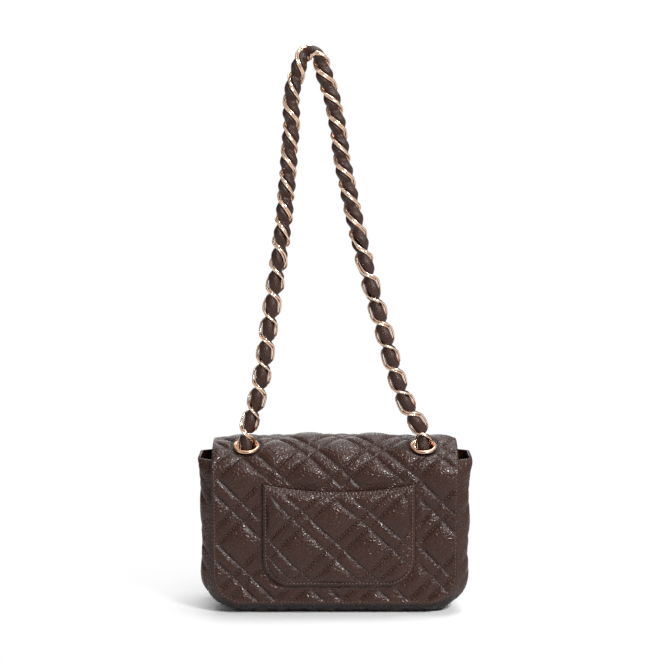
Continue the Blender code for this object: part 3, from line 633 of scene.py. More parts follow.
@dataclass(frozen=True)
class StiffenerBoard:
    """Plain grey-brown fibre board."""

    name: str
    colour: Colour = (0.30, 0.26, 0.21)
    fibre: float = 0.0015
    depth: float = 0.00005

    def build(self) -> Material:
        """Makes the material: pressed fibres and darker specks.

        Returns:
            The material.
        """
        coat = Coat(self.name, self.colour)
        wear = coat.group(WEAR, Size=self.fibre)
        tone = coat.shades(wear["Smear"], 0.8, 1.15)
        coat.give(Base_Color=coat.shades(wear["Scratches"], tone, 0.5),
                  Roughness=coat.graph.ramp(wear["Smear"], 0.0, 1.0, 0.95, 0.85))
        coat.bump(wear["Smear"], self.depth)
        return coat.finish


@dataclass(frozen=True)
class Thread:
    """Waxed sewing thread, a little lighter than the leather."""

    name: str
    colour: Colour = (0.120, 0.075, 0.062)
    fibre: float = 0.0006
    depth: float = 0.00004

    def build(self) -> Material:
        """Makes the material: soft, with uneven tone.

        Returns:
            The material.
        """
        coat = Coat(self.name, self.colour)
        wear = coat.group(WEAR, Size=self.fibre)
        coat.give(Base_Color=coat.shades(wear["Smear"], 0.75, 1.25),
                  Roughness=coat.graph.ramp(wear["Smear"], 0.0, 1.0, 0.62, 0.5))
        coat.bump(wear["Scratches"], self.depth)
        return coat.finish


class Finishes:
    """Every finish of the bag, made once."""

    def __init__(self) -> None:
        """Makes the shared groups, then the materials."""
        make_pebble_grain()
        make_woven_threads()
        make_handling_wear()
        make_quilting_rows()
        self.hide = Leather("pebbled_leather").build()
        self.smooth_leather = Leather("lace_leather", pebble=0.0009, depth=0.00008, roughness=0.28).build()
        self.metal = RoseGold("rose_gold_plate").build()
        self.wire = RoseGold("pale_gold_wire", colour=(0.86, 0.62, 0.47)).build()
        self.cloth = LiningCloth("woven_lining").build()
        self.board = StiffenerBoard("fibre_board").build()
        self.thread = Thread("sewing_thread").build()


# Trees that make what repeats

FIELD_SQUARENESS = 2.6
FIELD_ROUNDNESS = 0.62
PUCKER_FADE = 0.0024
PUCKERS_PER_METRE = 1450.0
PUCKER_WANDER = 9.0


def flat_rows(graph: Graph, across: Value, pitch: Value, band: Value,
              band_share: Value) -> tuple[Socket, Socket]:
    """One direction of double rows of quilting.

    Args:
        graph: The tree's graph.
        across: The place across the rows.
        pitch: From one pair of rows to the next.
        band: Between the two rows of a pair.
        band_share: How full the narrow channel is, as a share of the wide one.

    Returns:
        How full the leather is there, from 0 to 1, and how far the nearest row is.
    """
    there = graph.math("FLOORED_MODULO", across, pitch)
    narrow = graph.math("LESS_THAN", there, band)
    wide = graph.minus(1.0, narrow)
    start = graph.times(band, wide)
    width = graph.plus(graph.times(band, narrow), graph.times(graph.minus(pitch, band), wide))
    inside = graph.minus(there, start)
    near = graph.math("MINIMUM", inside, graph.minus(width, inside))
    off_middle = graph.math("ABSOLUTE", graph.minus(graph.times(near, 2.0), width))
    drop = graph.math("POWER", graph.over(off_middle, width), FIELD_SQUARENESS)
    arch = graph.math("POWER", graph.minus(1.0, drop), FIELD_ROUNDNESS)
    loss = graph.times(narrow, graph.minus(1.0, band_share))
    return graph.times(arch, graph.minus(1.0, loss)), near


def make_quilting_tree() -> NodeTree:
    """Pads a leather piece between double rows of stitching that cross at right angles.

    The piece's mesh carries its flat place, its outward direction, how much padding it takes and how
    far its edges are rolled in.

    Returns:
        The Geometry Nodes tree.
    """
    group = PieceTree("quilting", "Pitch", "Band", "Band Share", "Fullness", "Valley", "Shift A",
                      "Shift B", "Pucker", "Unevenness")
    graph, read = group.graph, group.read
    flat = graph.stored("flat", "FLOAT_VECTOR")
    split = graph.split(flat)
    line_a = graph.times_plus(graph.plus(split["X"], split["Y"]), ROOT_HALF, read("Shift A"))
    line_b = graph.times_plus(graph.minus(split["Y"], split["X"]), ROOT_HALF, read("Shift B"))
    (full_a, near_a), (full_b, near_b) = (
        flat_rows(graph, line, read("Pitch"), read("Band"), read("Band Share"))
        for line in (line_a, line_b))
    puff = graph.times(graph.times(full_a, full_b), read("Fullness"))
    gathers = []
    for near, line in ((near_a, line_b), (near_b, line_a)):
        close = graph.math("EXPONENT", graph.over(near, -PUCKER_FADE))
        lift = graph.over(near, PUCKER_FADE)
        wander = graph.times(graph.noise(flat, 90.0, 1.0)["Fac"], PUCKER_WANDER)
        wave = graph.math("SINE", graph.plus(graph.times(line, PUCKERS_PER_METRE), wander))
        gathers.append(graph.times(wave, graph.times(close, lift)))
    gather = graph.times(graph.plus(*gathers), read("Pucker"))
    uneven = graph.times(graph.minus(graph.noise(flat, 42.0, 2.0)["Fac"], 0.5), read("Unevenness"))
    height = graph.minus(graph.plus(graph.plus(puff, gather), uneven), read("Valley"))
    raised = graph.minus(graph.times(height, graph.stored("pad")), graph.stored("sink"))
    shift = graph.scaled(graph.stored("outward", "FLOAT_VECTOR"), raised)
    moved = graph.add("GeometryNodeSetPosition", {"Geometry": read("Geometry"), "Offset": shift})
    lines = graph.add("ShaderNodeCombineXYZ", {0: line_a, 1: line_b, 2: graph.stored("pad")})
    kept = graph.add("GeometryNodeStoreNamedAttribute", {
        "Geometry": moved.outputs["Geometry"], "Name": "rows", "Value": lines.outputs["Vector"]},
        data_type="FLOAT_VECTOR")
    return group.dress(kept.outputs["Geometry"])


def make_stitch_tree() -> NodeTree:
    """Sews along lines whose points carry their outward direction.

    Returns:
        The Geometry Nodes tree.
    """
    group = PieceTree("stitches", "Pitch", "Length", "Thickness")
    graph, read = group.graph, group.read
    lines = graph.add("GeometryNodeMeshToCurve", {"Mesh": read("Geometry")})
    spaced = graph.add("GeometryNodeResampleCurve", {
        "Curve": lines.outputs["Curve"], "Length": read("Pitch")}, mode="LENGTH")
    turn = graph.add("FunctionNodeAxesToRotation", {
        "Primary Axis": graph.add("GeometryNodeInputTangent").outputs["Tangent"],
        "Secondary Axis": graph.stored("outward", "FLOAT_VECTOR")}, primary_axis="X", secondary_axis="Z")
    bead = graph.add("GeometryNodeMeshUVSphere", {"Segments": 6, "Rings": 4, "Radius": 0.5})
    thickness = read("Thickness")
    size = graph.add("ShaderNodeCombineXYZ", {0: read("Length"), 1: thickness, 2: thickness})
    sewn = graph.add("GeometryNodeInstanceOnPoints", {
        "Points": spaced.outputs["Curve"], "Instance": bead.outputs["Mesh"],
        "Rotation": turn.outputs["Rotation"], "Scale": size.outputs["Vector"]})
    return group.dress(sewn.outputs["Instances"])


def make_link_tree() -> NodeTree:
    """Draws each closed line as a link of two wires side by side.

    Returns:
        The Geometry Nodes tree.
    """
    group = PieceTree("double_wire", "Wire Radius", "Wire Gap")
    graph, read = group.graph, group.read
    radius = read("Wire Radius")
    profile = graph.add("GeometryNodeCurvePrimitiveCircle", {"Resolution": 10, "Radius": radius})
    side = graph.stored("side", "FLOAT_VECTOR")
    wires = graph.add("GeometryNodeJoinGeometry")
    for sign in (-0.5, 0.5):
        shift = graph.scaled(side, graph.times(read("Wire Gap"), sign))
        beside = graph.add("GeometryNodeSetPosition", {"Geometry": read("Geometry"), "Offset": shift})
        line = graph.add("GeometryNodeMeshToCurve", {"Mesh": beside.outputs["Geometry"]})
        wire = graph.add("GeometryNodeCurveToMesh", {
            "Curve": line.outputs["Curve"], "Profile Curve": profile.outputs["Curve"]})
        graph.put(wires.inputs[0], wire.outputs["Mesh"])
    return group.dress(wires.outputs["Geometry"])


class Trees:
    """The Geometry Nodes trees, made once."""

    def __init__(self) -> None:
        """Builds each tree."""
        self.quilting = make_quilting_tree()
        self.stitches = make_stitch_tree()
        self.links = make_link_tree()


# The bag's shape

@dataclass(frozen=True)
class BagShape:
    """The outer shape of the bag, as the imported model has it."""

    half_width: float = 0.0895
    corner: float = 0.022
    back_depth: float = 0.0356
    front_base: float = 0.0314
    front_lean: float = 0.06
    shoulder: float = 0.1025
    mouth: float = 0.108
    seam: float = 0.008
    dome_rise: float = 0.0225
    crown: float = 0.0025
    flap_stack: float = 0.0074
    flap_bottom: float = 0.046
    flap_corner: float = 0.024
    hinge_turn: float = math.radians(78.0)
    eyelet_across: float = 0.0645
    eyelet_turn: float = math.radians(57.5)
    eyelet_hole: float = 0.0078
    lock_height: float = 0.034

    @property
    def half_depth(self) -> float:
        """Half the depth of the top's arch."""
        return (self.back_depth + self.front_y(self.shoulder) + self.flap_stack) / 2

    @property
    def middle_y(self) -> float:
        """The middle of the top's arch."""
        return self.half_depth - self.back_depth

    @property
    def upright(self) -> float:
        """Height for each length along the leaning front."""
        return math.cos(math.atan(self.front_lean))

    def front_y(self, height: float) -> float:
        """The outer face of the front panel at a height."""
        return self.front_base - self.front_lean * (height - self.seam)

    def over_top(self, turn: float, depth: float, share: float) -> Flat:
        """A point of the arch over the top.

        Args:
            turn: The angle from the back, in radians.
            depth: How far inside the outer face.
            share: The place across, as a share of the half width.

        Returns:
            The point's Y and Z.
        """
        rise = self.dome_rise - depth + self.crown * (1 - share * share)
        reach = self.half_depth - depth
        return self.middle_y - reach * math.cos(turn), self.shoulder + rise * math.sin(turn)

    def back_y(self, height: float, depth: float) -> float:
        """Finds the back's Y.

        Args:
            height: The height.
            depth: How far inside the outer face.

        Returns:
            Y there.
        """
        if height <= self.shoulder:
            return depth - self.back_depth
        turn = math.asin(min((height - self.shoulder) / (self.dome_rise - depth), 1.0))
        return self.over_top(turn, depth, 1.0)[0]

    def eyelet_frame(self, side: int) -> Matrix:
        """The frame of an eyelet, on the leather's face with Z out of the bag.

        Args:
            side: -1 for the left eyelet, 1 for the right one.

        Returns:
            The frame.
        """
        share = self.eyelet_across / self.half_width
        turn = self.eyelet_turn
        rise = self.dome_rise + self.crown * (1 - share * share)
        outward = Vector((0.0, -math.cos(turn) / self.half_depth, math.sin(turn) / rise))
        z_axis = outward.normalized()
        y_axis = z_axis.cross(Vector((1.0, 0.0, 0.0))).normalized()
        turned = Matrix((y_axis.cross(z_axis), y_axis, z_axis)).transposed().to_4x4()
        return Matrix.Translation((side * self.eyelet_across, *self.over_top(turn, 0.0, share))) @ turned


def read_table(table: Sequence[float], value: float) -> float:
    """Finds where a rising table passes a value.

    Args:
        table: Rising numbers.
        value: The number to find.

    Returns:
        The place in the table, with the share between two of its entries.
    """
    high = min(max(bisect.bisect_right(table, value), 1), len(table) - 1)
    low = high - 1
    return low + (value - table[low]) / (table[high] - table[low])


def running_lengths(points: Sequence[Vector]) -> list[float]:
    """The length of a line from its start to each of its points.

    Args:
        points: The line's points.

    Returns:
        The length from the start to each point.
    """
    lengths = [0.0]
    for first, second in zip(points, points[1:]):
        lengths.append(lengths[-1] + (second - first).length)
    return lengths


@dataclass
class TopLine:
    """The bag's line up the back, over the top and down the flap, read by its length."""

    shape: BagShape
    depth: float = 0.0
    steps: int = 240
    lengths: list[float] = field(init=False)

    def __post_init__(self) -> None:
        """Measures the arch."""
        self.lengths = running_lengths([
            Vector(self.shape.over_top(HALF_TURN * step / self.steps, self.depth, 0.0))
            for step in range(self.steps + 1)])

    @property
    def back(self) -> float:
        """Length of the flat back."""
        return self.shape.shoulder - self.shape.seam

    @property
    def total(self) -> float:
        """Whole length down to the flap's edge."""
        shape = self.shape
        return self.back + self.lengths[-1] + (shape.shoulder - shape.flap_bottom) / shape.upright

    def length_at(self, turn: float) -> float:
        """Finds the length at an angle of the arch.

        Args:
            turn: The angle from the back, in radians.

        Returns:
            The length from the bottom seam of the back.
        """
        place = turn / HALF_TURN * self.steps
        low = min(int(place), self.steps - 1)
        return self.back + self.lengths[low] + (place - low) * (self.lengths[low + 1] - self.lengths[low])

    def at(self, across: float, along: float) -> Vector:
        """A point of the line's sheet.

        Args:
            across: X.
            along: The length from the bottom seam of the back.

        Returns:
            The point.
        """
        shape = self.shape
        if along <= self.back:
            return Vector((across, self.depth - shape.back_depth, shape.seam + along))
        along -= self.back
        if along < self.lengths[-1]:
            turn = read_table(self.lengths, along) * HALF_TURN / self.steps
            return Vector((across, *shape.over_top(turn, self.depth, across / shape.half_width)))
        height = shape.shoulder - (along - self.lengths[-1]) * shape.upright
        return Vector((across, shape.front_y(height) + shape.flap_stack - self.depth, height))


@dataclass(frozen=True)
class Cut:
    """The flat pattern of a piece: a rectangle with round corners at either end.

    Rows and columns stand close together along its edges, where edge_rows gives them in millimetres.
    """

    half_width: float
    length: float
    low_corner: float = 0.0
    high_corner: float = 0.0
    cell: float = 0.0011
    edge_rows: tuple[float, ...] = (0.0, 0.15, 0.45, 0.9, 1.5)
    corner_stretch: float = 1.6

    @property
    def size(self) -> Flat:
        """Its whole width and length."""
        return 2 * self.half_width, self.length

    def edge(self, across: float, along: float) -> float:
        """Measures a flat place against the cut edge.

        Args:
            across: Its place across.
            along: Its place along.

        Returns:
            How far inside the edge it is.
        """
        beside = abs(across)
        for end, corner in ((along, self.low_corner), (self.length - along, self.high_corner)):
            if end < corner and beside > self.half_width - corner:
                return corner - math.hypot(beside - self.half_width + corner, corner - end)
        return min(self.half_width - beside, along, self.length - along)

    def end_rows(self, corner: float) -> list[Flat]:
        """Rows of one end.

        Args:
            corner: The corners' radius there.

        Returns:
            The rows, as (distance from the end, half width).
        """
        if not corner:
            return [(rise * MM, self.half_width) for rise in self.edge_rows]
        count = max(8, round(corner * QUARTER_TURN / (self.corner_stretch * self.cell)))
        angles = [QUARTER_TURN * step / count for step in range(count + 1)]
        return [(corner * (1 - math.cos(angle)), self.half_width - corner * (1 - math.sin(angle)))
                for angle in angles]

    def rows(self) -> list[Flat]:
        """Lays out the rows, with an even number of gaps.

        Returns:
            Each row's length along and half width.
        """
        low = self.end_rows(self.low_corner)
        high = [(self.length - rise, half) for rise, half in reversed(self.end_rows(self.high_corner))]
        start, end = low[-1][0], high[0][0]
        count = max(1, round((end - start) / self.cell))
        count += (len(low) + len(high) + count) % 2
        middle = [(start + (end - start) * step / count, self.half_width) for step in range(1, count)]
        return low + middle + high

    def shares(self) -> list[float]:
        """Lays out the columns, close together at the sides, with an even number of gaps.

        Returns:
            The columns as shares of the half width.
        """
        near = [1 - rise * MM / self.half_width for rise in self.edge_rows]
        count = 2 * round(near[-1] * self.half_width / self.cell)
        middle = [near[-1] * (2 * step / count - 1) for step in range(1, count)]
        return [-share for share in near] + middle + near[::-1]


@dataclass(frozen=True)
class StripCut(Cut):
    """The flat pattern of a strip whose width changes along it."""

    half_at: Callable[[float], float] = lambda along: 0.0

    def edge(self, across: float, along: float) -> float:
        """How far a flat place is from the cut edge."""
        return min(self.half_at(along) - abs(across), along, self.length - along)

    def rows(self) -> list[Flat]:
        """All rows, as (length along, half width)."""
        return [(along, self.half_at(along)) for along, half in super().rows()]


@dataclass(frozen=True)
class PocketCut(Cut):
    """The flat pattern of a patch pocket whose mouth dips in the middle."""

    dip: float = 0.0055

    def dip_at(self, across: float) -> float:
        """How far the mouth dips."""
        share = min(abs(across) / self.half_width, 1.0)
        return self.dip * (1 - share * share)

    def squeezed(self, across: float, along: float) -> float:
        """The height over the bottom edge of a grid place, drawn down towards the dipped mouth."""
        return along - self.dip_at(across) * (along / self.length) ** 2

    def outline(self, across: float, height: float) -> float:
        """How far a place on the bag is from the pocket's edge."""
        return min(super().edge(across, min(height, self.length / 2)), self.half_width - abs(across),
                   self.length - self.dip_at(across) - height)

    def edge(self, across: float, along: float) -> float:
        """How far a grid place is from the pocket's edge."""
        return self.outline(across, self.squeezed(across, along))


@dataclass
class Patch:
    """A cut piece of leather or cloth with its wall, laid over a surface.

    place gives the outer face at (across, along). pad says how much padding a flat place takes, and
    sink how far its face drops.
    """

    name: str
    cut: Cut
    place: Face
    thickness: float
    pad: Rule
    sink: Rule

    def face(self, across: float, along: float) -> tuple[Vector, Vector]:
        """Finds a point of the outer face.

        Args:
            across: Its place across.
            along: Its place along.

        Returns:
            The point and its outward direction.
        """
        sideways = self.place(across + SMALL_STEP, along) - self.place(across - SMALL_STEP, along)
        upwards = self.place(across, along + SMALL_STEP) - self.place(across, along - SMALL_STEP)
        return self.place(across, along), sideways.cross(upwards).normalized()

    @staticmethod
    def faces(wide: int, high: int) -> list[tuple[int, ...]]:
        """Joins the points: a fine outer grid, an inner one half as fine, and the wall between them.

        Args:
            wide: Columns of the outer grid.
            high: Rows of the outer grid.

        Returns:
            The faces, as places in the list of points.
        """
        def outer(column: int, row: int) -> int:
            """A point of the outer grid."""
            return row * wide + column

        def inner(column: int, row: int) -> int:
            """The inner point under one of the outer grid."""
            return wide * high + row // 2 * ((wide + 1) // 2) + column // 2

        right, top = wide - 1, high - 1
        faces = [(outer(column, row), outer(column + 1, row),
                  outer(column + 1, row + 1), outer(column, row + 1))
                 for row in range(top) for column in range(right)]
        faces += [(inner(column, row), inner(column, row + 2),
                   inner(column + 2, row + 2), inner(column + 2, row))
                  for row in range(0, top, 2) for column in range(0, right, 2)]
        steps, back = (0, 1, 2), (2, 1, 0)
        walls = [[(column + step, row) for step in order]
                 for column in range(0, right, 2) for row, order in ((0, back), (top, steps))]
        walls += [[(column, row + step) for step in order]
                  for row in range(0, top, 2) for column, order in ((0, steps), (right, back))]
        faces += [(*(outer(*place) for place in wall), inner(*wall[2]), inner(*wall[0])) for wall in walls]
        return faces

    def mesh(self) -> Mesh:
        """Builds the piece.

        Returns:
            The mesh, with its flat places, outward directions, padding and sinking as attributes.
        """
        rows, shares = self.cut.rows(), self.cut.shares()
        wide, high = len(shares), len(rows)
        flats = [(share * half, along, 0.0) for along, half in rows for share in shares]
        laid = [self.face(across, along) for across, along, _ in flats]
        under = [row * wide + column for row in range(0, high, 2) for column in range(0, wide, 2)]
        points = [point for point, _ in laid]
        outwards = [outward for _, outward in laid]
        points += [points[index] - outwards[index] * self.thickness for index in under]
        outwards += [outwards[index] for index in under]
        mesh = bpy.data.meshes.new(self.name)
        mesh.from_pydata(points, [], self.faces(wide, high))
        for name, rule in (("pad", self.pad), ("sink", self.sink)):
            numbers = [rule(across, along) for across, along, _ in flats] + [0.0] * len(under)
            mesh.attributes.new(name, "FLOAT", "POINT").data.foreach_set("value", numbers)
        store_vectors(mesh, "flat", flats + [flats[index] for index in under])
        store_vectors(mesh, "outward", outwards)
        mesh.shade_smooth()
        return mesh


def rolled_edge(edge: float, radius: float) -> float:
    """How far a rolled edge drops below the face at a distance from the cut edge."""
    away = radius - min(max(edge, 0.0), radius)
    return radius - math.sqrt(radius ** 2 - away ** 2)


@dataclass(frozen=True)
class Quilting:
    """Double rows of stitching, crossed at right angles, with padding between them."""

    pitch: float = 0.0342
    band: float = 0.0093
    band_share: float = 0.52
    fullness: float = 0.0032
    valley: float = 0.0014
    shift_a: float = 0.004
    shift_b: float = 0.011
    pucker: float = 0.00016
    unevenness: float = 0.0010

    @classmethod
    def none(cls) -> "Quilting":
        """No padding at all, as a plain sheet has it."""
        return cls(fullness=0.0, valley=0.0, pucker=0.0, unevenness=0.0)

    def rows_over(self, cut: Cut, keep: Test) -> list[list[Flat]]:
        """The stitched rows that lie on a piece.

        Args:
            cut: The piece's flat pattern.
            keep: Says whether a flat place is sewn.

        Returns:
            The rows, each as flat places.
        """
        reach = cut.length + 2 * cut.half_width
        count = math.ceil(reach / self.pitch) + 1
        half_run = round(reach / LINE_STEP)
        lines = []
        for shift, mirror in ((self.shift_a, 1), (self.shift_b, -1)):
            levels = [index * self.pitch + offset - shift
                      for index in range(-count, count + 1) for offset in (0.0, self.band)]
            for level in levels:
                line: list[Flat] = []
                for number in range(-half_run, half_run + 1):
                    run = number * LINE_STEP
                    across = mirror * (level - run) * ROOT_HALF
                    along = (level + run) * ROOT_HALF
                    sewn = abs(across) < cut.half_width and 0 < along < cut.length and keep(across, along)
                    if sewn:
                        line.append((across, along))
                    if line and not sewn:
                        lines.append(line)
                        line = []
        return [line for line in lines if len(line) > 3]


def inset_line(cut: Cut, inset: float, start: float, end: float) -> list[Flat]:
    """A line inside a patch's edge: down one side, round the far end and back up the other side.

    Args:
        cut: The patch's flat pattern.
        inset: Distance from the edge.
        start: The length along where it starts and ends.
        end: The length along of the far edge.

    Returns:
        The line's flat places.
    """
    beside = cut.half_width - inset
    corner = max(cut.high_corner - inset, MM)
    low = end - inset - corner
    half = [(beside, start + LINE_STEP * number) for number in range(int((low - start) / LINE_STEP))]
    turns = max(6, round(corner * QUARTER_TURN / LINE_STEP))
    for number in range(turns + 1):
        angle = QUARTER_TURN * number / turns
        half.append((beside - corner * (1 - math.cos(angle)), low + corner * math.sin(angle)))
    flat_run = beside - corner
    half += [(flat_run - LINE_STEP * number, end - inset) for number in range(1, int(flat_run / LINE_STEP))]
    return half + [(-across, along) for across, along in reversed(half)]


def short_line(reach: int, along: float) -> list[Flat]:
    """A straight line across a patch, with a point at each millimetre out to a reach in millimetres."""
    return [(step * MM - reach * MM, along) for step in range(2 * reach + 1)]


@dataclass(frozen=True)
class Stitch:
    """A size of stitch."""

    pitch: float = 0.0026
    length: float = 0.0020
    thickness: float = 0.00042


@dataclass
class Maker:
    """What every part of the bag is made from, and the work that the parts share."""

    shape: BagShape
    finishes: Finishes
    trees: Trees

    def sew(self, name: str, lines: Iterable[Sequence[Flat]], patch: Patch, surface: Piece,
            stitch: Stitch = Stitch()) -> Piece:
        """Sews lines of stitches on a finished piece.

        Args:
            name: The stitches' name.
            lines: Lines of flat places.
            patch: The patch that the piece was made from.
            surface: The finished piece.
            stitch: The stitches' size.

        Returns:
            The stitches.
        """
        tree = BVHTree.FromPolygons([vertex.co for vertex in surface.data.vertices],
                                    [tuple(face.vertices) for face in surface.data.polygons])
        points, edges, outwards = [], [], []
        for line in lines:
            start = len(points)
            for across, along in line:
                point, outward = patch.face(across, along)
                hit = tree.ray_cast(point + outward * RAY_START, -outward, 2 * RAY_START)[0]
                if hit is not None:
                    points.append(hit + outward * stitch.thickness * STITCH_LIFT)
                    outwards.append(outward)
            edges += [(index, index + 1) for index in range(start, len(points) - 1)]
        mesh = bpy.data.meshes.new(name)
        mesh.from_pydata(points, edges, [])
        store_vectors(mesh, "outward", outwards)
        piece = add_piece(name, mesh)
        run_tree(piece, self.trees.stitches, finish=self.finishes.thread, **asdict(stitch))
        return piece

    def pad_patch(self, patch: Patch, quilting: Quilting, finish: Material) -> Piece:
        """Makes a patch's piece and pads it.

        Args:
            patch: The patch.
            quilting: Its padding.
            finish: Its material.

        Returns:
            The piece.
        """
        piece = add_piece(patch.name, patch.mesh())
        run_tree(piece, self.trees.quilting, finish=finish, **asdict(quilting))
        return piece

    def punch_eyelets(self, piece: Piece) -> None:
        """Cuts the holes for the eyelets' barrels.

        Args:
            piece: The leather.
        """
        cutters = []
        for side in (-1, 1):
            bm = bmesh.new()
            bmesh.ops.create_cone(bm, cap_ends=True, segments=PUNCH_SIDES, depth=PUNCH_DEPTH,
                                  radius1=self.shape.eyelet_hole, radius2=self.shape.eyelet_hole)
            bmesh.ops.transform(bm, matrix=self.shape.eyelet_frame(side), verts=bm.verts)
            cutters.append(add_piece("eyelet_punch", mesh_of(bm, "eyelet_punch")))
            boolean = piece.modifiers.new("punch", "BOOLEAN")
            boolean.object = cutters[-1]
            boolean.operation = "DIFFERENCE"
            boolean.solver = "EXACT"
        keep_result(piece, smooth=False)
        for cutter in cutters:
            bpy.data.objects.remove(cutter, do_unlink=True)


# Leather of the bag

@dataclass
class QuiltedPart(Maker):
    """A quilted piece of leather, laid over its cut by place, with its edges rolled in."""

    thickness: float = 0.0026
    quilting: Quilting = Quilting()
    edge_roll: float = 0.0013
    edge_rise: Flat = (0.0004, 0.0055)
    row_end: float = 0.003

    def clear(self, across: float, along: float) -> float:
        """How clear a flat place is of what presses the padding flat, from 0 to 1."""
        return 1.0

    def pressed(self, across: float, along: float) -> float:
        """How far a flat place is pressed down."""
        return 0.0

    def pad(self, across: float, along: float) -> float:
        """Padding of a flat place, from 0 to 1."""
        return smooth_rise(self.cut.edge(across, along), *self.edge_rise) * self.clear(across, along)

    def sink(self, across: float, along: float) -> float:
        """Drop of a flat place."""
        return rolled_edge(self.cut.edge(across, along), self.edge_roll) + self.pressed(across, along)

    def is_sewn(self, across: float, along: float) -> bool:
        """Whether the rows are sewn at a flat place."""
        return self.cut.edge(across, along) > self.row_end

    def quilt(self, name: str, label: str, *lines: Sequence[Flat]) -> list[Piece]:
        """Makes the leather and sews it, and keeps its patch.

        Args:
            name: Its name.
            label: Its stitches' name.
            *lines: Its lines of stitches apart from the rows.

        Returns:
            The leather and its stitches.
        """
        self.patch = Patch(name, self.cut, self.place, self.thickness, self.pad, self.sink)
        leather = self.pad_patch(self.patch, self.quilting, self.finishes.hide)
        rows = self.quilting.rows_over(self.cut, self.is_sewn)
        return [leather, self.sew(label, [*rows, *lines], self.patch, leather)]


@dataclass
class Hide(QuiltedPart):
    """The back and the flap, one quilted hide that bends at the top."""

    eyelet_seat: float = 0.0013
    pocket_rise: Flat = (0.0, 0.0065)
    eyelet_rise: Flat = (0.0095, 0.0150)
    eyelet_press: Flat = (0.0099, 0.0135)
    row_end_at_eyelet: float = 0.0112
    flap_inset: float = 0.0032
    seam_inset: float = 0.0021
    bend_margin: float = 0.004
    bend_start: Place = (0.0, -0.0144, 0.128)
    bend_end: Place = (0.0, 0.0016, 0.128)

    def __post_init__(self) -> None:
        """Measures the hide."""
        self.line = TopLine(self.shape)
        self.place = self.line.at
        self.cut = Cut(self.shape.half_width, self.line.total, self.shape.corner, self.shape.flap_corner)
        self.eyelet_along = self.line.length_at(self.shape.eyelet_turn)
        self.hinge_along = self.line.length_at(self.shape.hinge_turn)

    def from_eyelet(self, across: float, along: float) -> float:
        """Distance of a flat place from the nearer eyelet's middle."""
        return math.hypot(abs(across) - self.shape.eyelet_across, along - self.eyelet_along)

    def from_pocket(self, across: float, along: float) -> float:
        """Measures a flat place against the patch pocket's edge.

        Args:
            across: Its place across.
            along: Its place along.

        Returns:
            How far outside the edge it is, or the hide's whole length on the flap's side.
        """
        if along >= self.eyelet_along:
            return self.line.total
        height = self.line.at(across, along).z - BackPocket.bottom
        return -BackPocket.cut.outline(across - BackPocket.shift, height)

    def clear(self, across: float, along: float) -> float:
        """How clear a flat place is of the pocket and the eyelets, from 0 to 1."""
        share = smooth_rise(self.from_pocket(across, along), *self.pocket_rise)
        return share * smooth_rise(self.from_eyelet(across, along), *self.eyelet_rise)

    def pressed(self, across: float, along: float) -> float:
        """How far the eyelets press the leather down."""
        return (1 - smooth_rise(self.from_eyelet(across, along), *self.eyelet_press)) * self.eyelet_seat

    def is_sewn(self, across: float, along: float) -> bool:
        """Whether the rows are sewn at a flat place."""
        return (super().is_sewn(across, along) and self.from_pocket(across, along) > 0.0
                and self.from_eyelet(across, along) > self.row_end_at_eyelet)

    def seam_line(self) -> list[Flat]:
        """Draws the line beside the seam with the gusset.

        Returns:
            Its flat places: down one side of the back, along its foot and up the other side.
        """
        total = self.line.total
        turned = Cut(self.shape.half_width, total, 0.0, self.shape.corner)
        line = inset_line(turned, self.seam_inset, total - self.hinge_along + self.bend_margin, total)
        return [(across, total - along) for across, along in line]

    def build(self) -> list[Piece]:
        """Builds the hide and its stitches.

        Returns:
            The pieces.
        """
        start = self.hinge_along + self.bend_margin
        flap_line = inset_line(self.cut, self.flap_inset, start, self.cut.length)
        hide, stitches = self.quilt("quilted_hide", "hide_stitches", flap_line, self.seam_line())
        self.punch_eyelets(hide)
        for piece in (hide, stitches):
            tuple(self.bend_start)
            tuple(self.bend_end)
            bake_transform(piece)
        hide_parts("back_panel", "flap_panel")
        return [hide, stitches]


@dataclass
class FrontPanel(QuiltedPart):
    """The quilted front under the flap."""

    thickness: float = 0.0028
    quilting: Quilting = Quilting(fullness=0.0026, shift_a=0.010, shift_b=0.010)
    hem: float = 0.003
    hem_reach: int = 86
    lock_reach: Flat = (0.0085, 0.0075)
    lock_rise: Flat = (0.0, 0.006)

    def __post_init__(self) -> None:
        """Measures the panel."""
        shape = self.shape
        length = (shape.mouth - shape.seam) / shape.upright
        self.cut = Cut(shape.half_width, length, 0.0, shape.corner, 0.0014)

    def place(self, across: float, along: float) -> Vector:
        """A point of the outer face, from the mouth down."""
        height = self.shape.mouth - along * self.shape.upright
        return Vector((across, self.shape.front_y(height), height))

    def clear(self, across: float, along: float) -> float:
        """How clear a flat place is of the lock, from 0 to 1."""
        upwards = abs(along - self.shape.mouth + self.shape.lock_height) - self.lock_reach[1]
        return smooth_rise(max(abs(across) - self.lock_reach[0], upwards), *self.lock_rise)

    def is_sewn(self, across: float, along: float) -> bool:
        """Whether the rows are sewn at a flat place."""
        return super().is_sewn(across, along) and self.clear(across, along) > 0.5

    def build(self) -> list[Piece]:
        """Builds the front panel and its stitches.

        Returns:
            The pieces.
        """
        pieces = self.quilt("front_leather", "front_stitches", short_line(self.hem_reach, self.hem))
        settle(pieces, Body.BAG, Slot.LEATHER, "front_panel")
        return pieces


